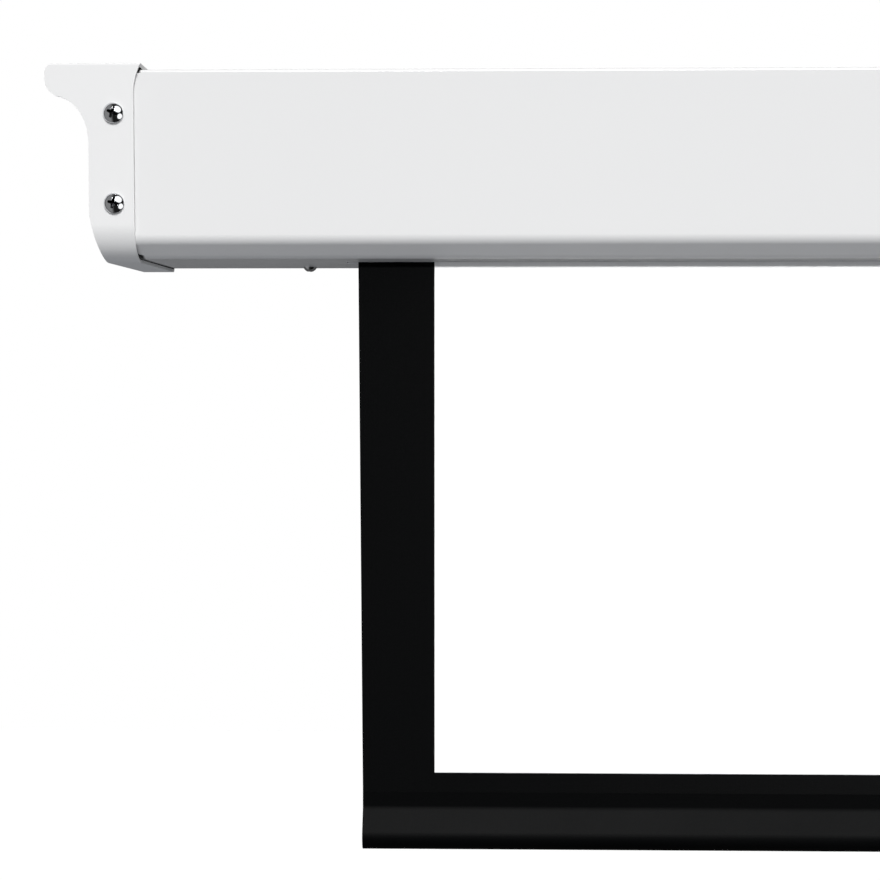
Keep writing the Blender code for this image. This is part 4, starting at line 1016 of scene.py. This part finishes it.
def hanging_sheet(sizes, across):
    """The cloth from the roller to the hem, white in front and black behind.

    The place x across narrows evenly to x (1 - draw_in / half width) at the hem, and the cloth waves
    in depth as sine (5.3 x + 1.1) times sine (14 z + 0.7) do.
    """
    left, right = FABRIC_LOW.x, FABRIC_HIGH.x
    down = np.linspace(FABRIC_HIGH.z, HEM_HIGH.z, 109)
    x, z = np.meshgrid(across, down, indexing="xy")
    x = x * (1 - sizes.draw_in / right * (FABRIC_HIGH.z - z) / (FABRIC_HIGH.z - HEM_HIGH.z))
    depth = 0.12 * MM
    wave = depth * np.sin(x * 5.3 + 1.1) * np.sin((z + 0.05) * 14)
    points = np.stack([x, FABRIC_Y - sizes.cloth / 2 + wave, z], axis=-1)
    uv = np.stack([x - left, FABRIC_HIGH.z - z], axis=-1)
    mesh = grid_mesh("screen_sheet", points[:, ::-1], uv=uv[:, ::-1])
    mesh.materials.append(FINISHES["screen"])
    mesh.materials.append(FINISHES["backing"])
    sheet = new_object("screen_sheet", mesh)
    step = sheet.modifiers.new("wall", "SOLIDIFY")
    step.thickness = sizes.cloth
    step.material_offset = 1
    settled(sheet)
    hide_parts("screen_fabric")
    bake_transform(sheet)
    return sheet


def hem_loop(sizes, across):
    """The hem's cloth round the bar, with faint ripples on its flank.

    They are sine (61 x + 0.4) + 0.7 sine (97 x + 2) + 0.5 sine (173 x + 90 s), with s the distance
    along the hem's path, and fade in and out along the path.
    """
    path = hem_path(sizes)
    across = across * (1 - sizes.draw_in / FABRIC_HIGH.x)
    points = carried(path, across)
    x, run = np.meshgrid(across, path_length(path), indexing="ij")
    depth = 0.08 * MM
    flank = smooth_step(4 * MM, 10 * MM, run) * (1 - smooth_step(18 * MM, 26 * MM, run))
    ripple = np.sin(x * 61 + 0.4) + 0.7 * np.sin(x * 97 + 2.0) + 0.5 * np.sin(x * 173 + run * 90)
    points[..., 1] -= depth * flank * ripple
    uv = np.stack([x - FABRIC_LOW.x, run], axis=-1)
    hem = solidified(new_object("hem_loop", grid_mesh("hem_loop", points, uv=uv)), sizes.cloth)
    dress(hem, "backing", "bottom_bar", "hem_pocket")
    return hem


def wound_cloth(sizes, sides):
    """The cloth on the roller: a spiral whose radius grows by the pitch each turn.

    Its path's length so far, at each point of the spiral, is given along with it.
    """
    low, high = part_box("fabric_roll")
    tube_low, tube_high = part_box("roller_tube")
    axis = ((low.y + high.y) / 2, (tube_low.z + tube_high.z) / 2)
    clearance, per_turn = 0.3 * MM, 72
    inner = (tube_high.z - tube_low.z) / 2 + clearance
    thickness, pitch = sizes.roll_cloth
    turns = (axis[0] - low.y - inner) / pitch
    angle = np.linspace(0, 2 * np.pi * turns, int(turns * per_turn))
    radius = inner + pitch * angle / (2 * np.pi)
    turned = angle + np.pi - angle[-1]
    coil = np.stack([axis[0] + radius * np.cos(turned), axis[1] + radius * np.sin(turned)], axis=1)
    run = path_length(coil)
    x, along = np.meshgrid(sides, run, indexing="ij")
    uv = np.stack([x - FABRIC_LOW.x, along], axis=-1)
    mesh = grid_mesh("wound_cloth", carried(coil, sides), uv=uv)
    roll = solidified(new_object("wound_cloth", mesh), thickness)
    dress(roll, "backing", "roller", "fabric_roll")
    return roll, run


class PROJECTION_OT_fabric(bpy.types.Operator):
    """Make the hanging fabric, its hem and what is wound on the roller"""
    bl_idname = "projection.make_fabric"
    bl_label = "Fabric"

    def execute(self, context):
        """Three pieces of one cloth: the hanging sheet, the hem that rides on the bar, and the roll."""
        sizes = context.scene.screen_sizes
        left, right = FABRIC_LOW.x, FABRIC_HIGH.x
        across = np.linspace(left, right, 121)
        sheet, hem = hanging_sheet(sizes, across), hem_loop(sizes, across)
        roll, run = wound_cloth(sizes, [left, right])
        return {"FINISHED"}


def turned_piece(name, profile, centre, count, rim=None):
    """A solid turned about an axis along X."""
    surface = grid_mesh("turned", revolved(profile, centre, count, rim), wrap_columns=True)
    return settled(new_object(name, merged([surface], name)))


class PROJECTION_OT_bar(bpy.types.Operator):
    """Make the plugs of the weight bar"""
    bl_idname = "projection.make_bar"
    bl_label = "Bar plugs"

    def execute(self, context):
        """A turned cap with a soft rim and a shallow dish in its face, level with the drawn in hem."""
        full_flange, dish, soft = 2 * MM, 0.5 * MM, 0.1 * MM
        flange = full_flange - context.scene.screen_sizes.draw_in
        for name, inward in (("left_bar_plug", 1), ("right_bar_plug", -1)):
            low, high, centre = box_axis(name)
            radius = (high.z - low.z) / 2
            body = 0.66 * radius
            face = (low.x if inward > 0 else high.x) + inward * (full_flange - flange)
            profile = np.array([
                (dish, 0), (dish, 0.55 * radius), (0, 0.68 * radius), (0, radius - soft), (soft, radius),
                (flange, radius), (flange, body), (12 * MM, body), (13 * MM, 0.5 * radius), (13 * MM, 0),
            ])
            profile[:, 0] = face + inward * profile[:, 0]
            cap = name.replace("bar_plug", "bar_cap")
            plug = turned_piece(cap, softened(profile, soft), centre, 72)
            dress(plug, "black", "bottom_bar", name)
        return {"FINISHED"}


class PROJECTION_OT_gland(bpy.types.Operator):
    """Make the cable gland and its nut"""
    bl_idname = "projection.make_gland"
    bl_label = "Cable gland"

    def execute(self, context):
        """The gland's cap has grip ribs, and a bore that the mains cable would pass."""
        low, high, centre = box_axis("cable_gland")
        bore, stem, cap, dome = 3.6 * MM, 6 * MM, 9 * MM, 13 * MM
        face = high.x - dome
        profile = np.array([
            (-12 * MM, bore), (-12 * MM, 5.5 * MM), (-11.5 * MM, stem), (0, stem), (0, cap),
            (4 * MM, cap), (5 * MM, 8 * MM), (12 * MM, 6.4 * MM), (dome, 5 * MM), (dome, bore),
            (-12 * MM, bore),
        ])
        profile[:, 0] += face
        profile = softened(profile, 0.4 * MM)

        def ribs(along, radius, around):
            """Shallow flutes between 20 ribs on the cap's flank, and a thread on the stem.

            A flute is half of 1 - cosine 20 t deep at the angle t, and the thread is a saw that climbs
            once round the stem each turn.
            """
            flute_depth, thread_depth, pitch = 0.5 * MM, 0.35 * MM, 1.5 * MM
            flute = 0.5 - 0.5 * np.cos(around * 20)
            out = along - face
            on_cap = smooth_step(0.3 * MM, 1.2 * MM, out) * smooth_step(7 * MM, 8 * MM, radius)
            thread = np.abs((along / pitch - around / (2 * np.pi)) % 1.0 - 0.5) * 2
            on_stem = smooth_step(-11 * MM, -10.4 * MM, out) * smooth_step(0.4 * MM, 0.8 * MM, -out)
            outside = radius > 5.7 * MM
            return radius - on_cap * flute * flute_depth - outside * on_stem * thread * thread_depth

        lengths = path_length(profile)
        even = np.linspace(0, lengths[-1], 260)
        places = np.unique(np.concatenate([even, lengths]))
        fine = np.stack([np.interp(places, lengths, profile[:, axis]) for axis in (0, 1)], axis=1)
        gland = turned_piece("gland_body", fine, centre, 160, ribs)
        dress(gland, "black", "root", "cable_gland")

        low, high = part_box("gland_nut")
        corner, opening = 9.2 * MM, 6.3 * MM
        hexagon = arc(centre, (corner, corner), 0, 300, 5)
        circle = arc(centre, (opening, opening), 0, 354, 59)
        nut = prism("gland_ring_nut", hexagon, low.x, high.x, 0)
        trimmed(nut, [prism("bore", circle, low.x - MM, high.x + MM, 0)])
        softly_edged(nut, 0.3 * MM, 2, "ANGLE")
        settled(nut)
        dress(nut, "black", "root", "gland_nut")
        return {"FINISHED"}


class PROJECTION_OT_inner_works(bpy.types.Operator):
    """Give the pieces inside the casing their finishes"""
    bl_idname = "projection.finish_inner_works"
    bl_label = "Inner works"

    def execute(self, context):
        """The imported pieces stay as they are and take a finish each."""
        groups = {
            "zinc": ["idler_support", "motor_support", "idler_pin_nut", "idler_clip", "drive_wheel_clip",
                     "upper_motor_screw", "lower_motor_screw", "motor_tube", "roller_tube", "weight_bar"],
            "ground": ["idler_pin", "bearing_inner_race", "bearing_outer_race", "ball_cage",
                       "motor_output_shaft"],
            "black": ["idler_plug", "motor_head", "crown_ring", "drive_wheel"],
            "moulded": ["up_limit_screw", "down_limit_screw", "control_box", "control_box_lid"],
            "grey": ["terminal_block"],
            "board": ["control_board"],
            "sheath": ["motor_lead"],
        }
        for name, nodes in groups.items():
            for node in nodes:
                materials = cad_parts[node].data.materials
                materials.clear()
                materials.append(FINISHES[name])
        return {"FINISHED"}


def mirrored_room(tree, stage, direction):
    """The level that gloss mirrors, and masks for the rays that see it and for the camera's own."""
    room = use_group(tree, "mirrored_room", Direction=direction, Left=stage.mirrored[0],
                     Front=stage.mirrored[1], Back=stage.mirrored[2])
    path = tree.nodes.new("ShaderNodeLightPath").outputs
    mirroring = math_node(tree, "MAXIMUM", path["Is Glossy Ray"], path["Is Transmission Ray"])
    return room["Level"], mirroring, path["Is Camera Ray"]


def studio_world(stage):
    """White for the camera, the mirrored room for gloss, and soft light for the rest."""
    world = bpy.data.worlds.new("studio")
    bpy.context.scene.world = world
    world.use_nodes = True
    tree = world.node_tree
    direction = tree.nodes.new("ShaderNodeTexCoord").outputs["Generated"]
    blur = 0.12
    high = level_mask(tree, axes(tree, direction)[2], -blur, blur)
    room, mirroring, seen = mirrored_room(tree, stage, direction)
    unseen = mixed(tree, "FLOAT", mirroring, spread(tree, high, stage.lower_light, stage.upper_light), room)
    background = tree.nodes["Background"].inputs
    tree.links.new(mixed(tree, "FLOAT", seen, unseen, 1.0), background["Color"])
    background["Strength"].default_value = 1


def pale_floor(stage):
    """A floor that is white to the camera but for the object's shadow, and shows gloss the mirrored room.

    It throws more light up from in front than from below the object.
    """
    white, half_blur, reach = (0.95, 0.95, 0.95, 1), 0.5, np.array([-7.0, 7.0])
    x, y = np.meshgrid(reach, reach, indexing="ij")
    points = np.stack([x, y, np.full_like(x, stage.floor_height)], axis=-1)
    floor = new_object("floor", grid_mesh("floor", points))
    paint, tree, inputs = start_finish("pale_floor", 0.9, specular=0.0)
    place = object_place(tree)
    from_object = vector_node(tree, "SUBTRACT", place, _1=(LEFT_HIGH.x, LEFT_LOW.y, LEFT_LOW.z / 2))[0]
    room, mirroring, seen = mirrored_room(tree, stage, from_object)
    front = stage.floor_front
    near = level_mask(tree, axes(tree, place)[1], front - half_blur, front + half_blur)
    thrown = mixed(tree, "FLOAT", mirroring, spread(tree, near, *stage.floor_tones), 0.0)
    cool = vector_node(tree, "MULTIPLY", thrown, _1=stage.floor_tint)[0]
    tree.links.new(mixed(tree, "RGBA", seen, cool, white), inputs["Base Color"])
    glow = mixed(tree, "FLOAT", seen, math_node(tree, "MULTIPLY", mirroring, room), stage.floor_glow)
    tree.links.new(glow, inputs["Emission Color"])
    inputs["Emission Strength"].default_value = 1
    floor.data.materials.append(paint)


def sun_lamp(name, lamp, width, piece, linked):
    """A sun given as (strength, elevation, swing), as wide as an angle in degrees.

    It lights either the named piece alone or everything but it.
    """
    strength, elevation, swing = lamp
    data = bpy.data.lights.new(name, "SUN")
    data.energy = strength
    data.angle = math.radians(width)
    item = bpy.data.objects.new(name, data)
    aim = Vector((-math.sin(swing) * math.cos(elevation), math.cos(swing) * math.cos(elevation),
                  -math.sin(elevation)))
    item.rotation_euler = aim.to_track_quat("-Z", "Y").to_euler()
    bpy.context.scene.collection.objects.link(item)
    lit = bpy.data.collections.new(name)
    lit.objects.link(bpy.data.objects[piece])
    lit.collection_objects[0].light_linking.link_state = linked
    item.light_linking.receiver_collection = lit


class PROJECTION_OT_stage(bpy.types.Operator):
    """Make the floor, the light and the camera"""
    bl_idname = "projection.make_stage"
    bl_label = "Stage"

    def execute(self, context):
        """A pale floor, a soft light from above, a low one for the fabric, and the photograph's camera."""
        scene = context.scene
        stage = scene.screen_stage
        scene.view_settings.view_transform = "Standard"
        studio_world(stage)
        pale_floor(stage)
        key_width, screen_width = stage.light_widths
        sun_lamp("key_light", stage.key_light, key_width, "screen_sheet", "EXCLUDE")
        sun_lamp("screen_light", stage.screen_light, screen_width, "screen_sheet", "INCLUDE")

        camera = bpy.data.objects.new("camera", bpy.data.cameras.new("camera"))
        camera.data.lens = stage.lens
        camera.data.sensor_width = 36
        camera.data.clip_start = 0.02
        down, left = stage.camera_turn
        camera.location = stage.camera_place
        camera.rotation_euler = (math.pi / 2 - down, 0, left)
        scene.collection.objects.link(camera)
        scene.camera = camera
        return {"FINISHED"}


OPERATORS = (PROJECTION_OT_finishes, PROJECTION_OT_casing, PROJECTION_OT_brackets, PROJECTION_OT_screws,
             PROJECTION_OT_fabric, PROJECTION_OT_bar, PROJECTION_OT_gland, PROJECTION_OT_inner_works,
             PROJECTION_OT_stage)


class PROJECTION_PT_parts(bpy.types.Panel):
    """Lists the pieces in the sidebar"""
    bl_idname = "PROJECTION_PT_parts"
    bl_label = "Projector screen"
    bl_space_type = "VIEW_3D"
    bl_region_type = "UI"
    bl_category = "Screen"

    def draw(self, context):
        """One button for each operator, then the sizes and colours."""
        for operator in OPERATORS:
            self.layout.operator(operator.bl_idname)
        for group in (context.scene.screen_sizes, context.scene.screen_colours, context.scene.screen_stage):
            box = self.layout.box()
            for name in group.bl_rna.properties.keys():
                if name not in ("rna_type", "name"):
                    box.prop(group, name)


CLASSES = (ScreenSizes, ScreenColours, ScreenStage, *OPERATORS, PROJECTION_PT_parts)


def register():
    """Add the classes and the properties to Blender."""
    for item in CLASSES:
        bpy.utils.register_class(item)
    bpy.types.Scene.screen_sizes = PointerProperty(type=ScreenSizes)
    bpy.types.Scene.screen_colours = PointerProperty(type=ScreenColours)
    bpy.types.Scene.screen_stage = PointerProperty(type=ScreenStage)


def unregister():
    """Take them away again."""
    del bpy.types.Scene.screen_stage
    del bpy.types.Scene.screen_colours
    del bpy.types.Scene.screen_sizes
    for item in reversed(CLASSES):
        bpy.utils.unregister_class(item)


def main():
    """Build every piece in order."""
    register()
    for operator in OPERATORS:
        family, name = operator.bl_idname.split(".")
        getattr(getattr(bpy.ops, family), name)()


if __name__ == "__main__":
    main()
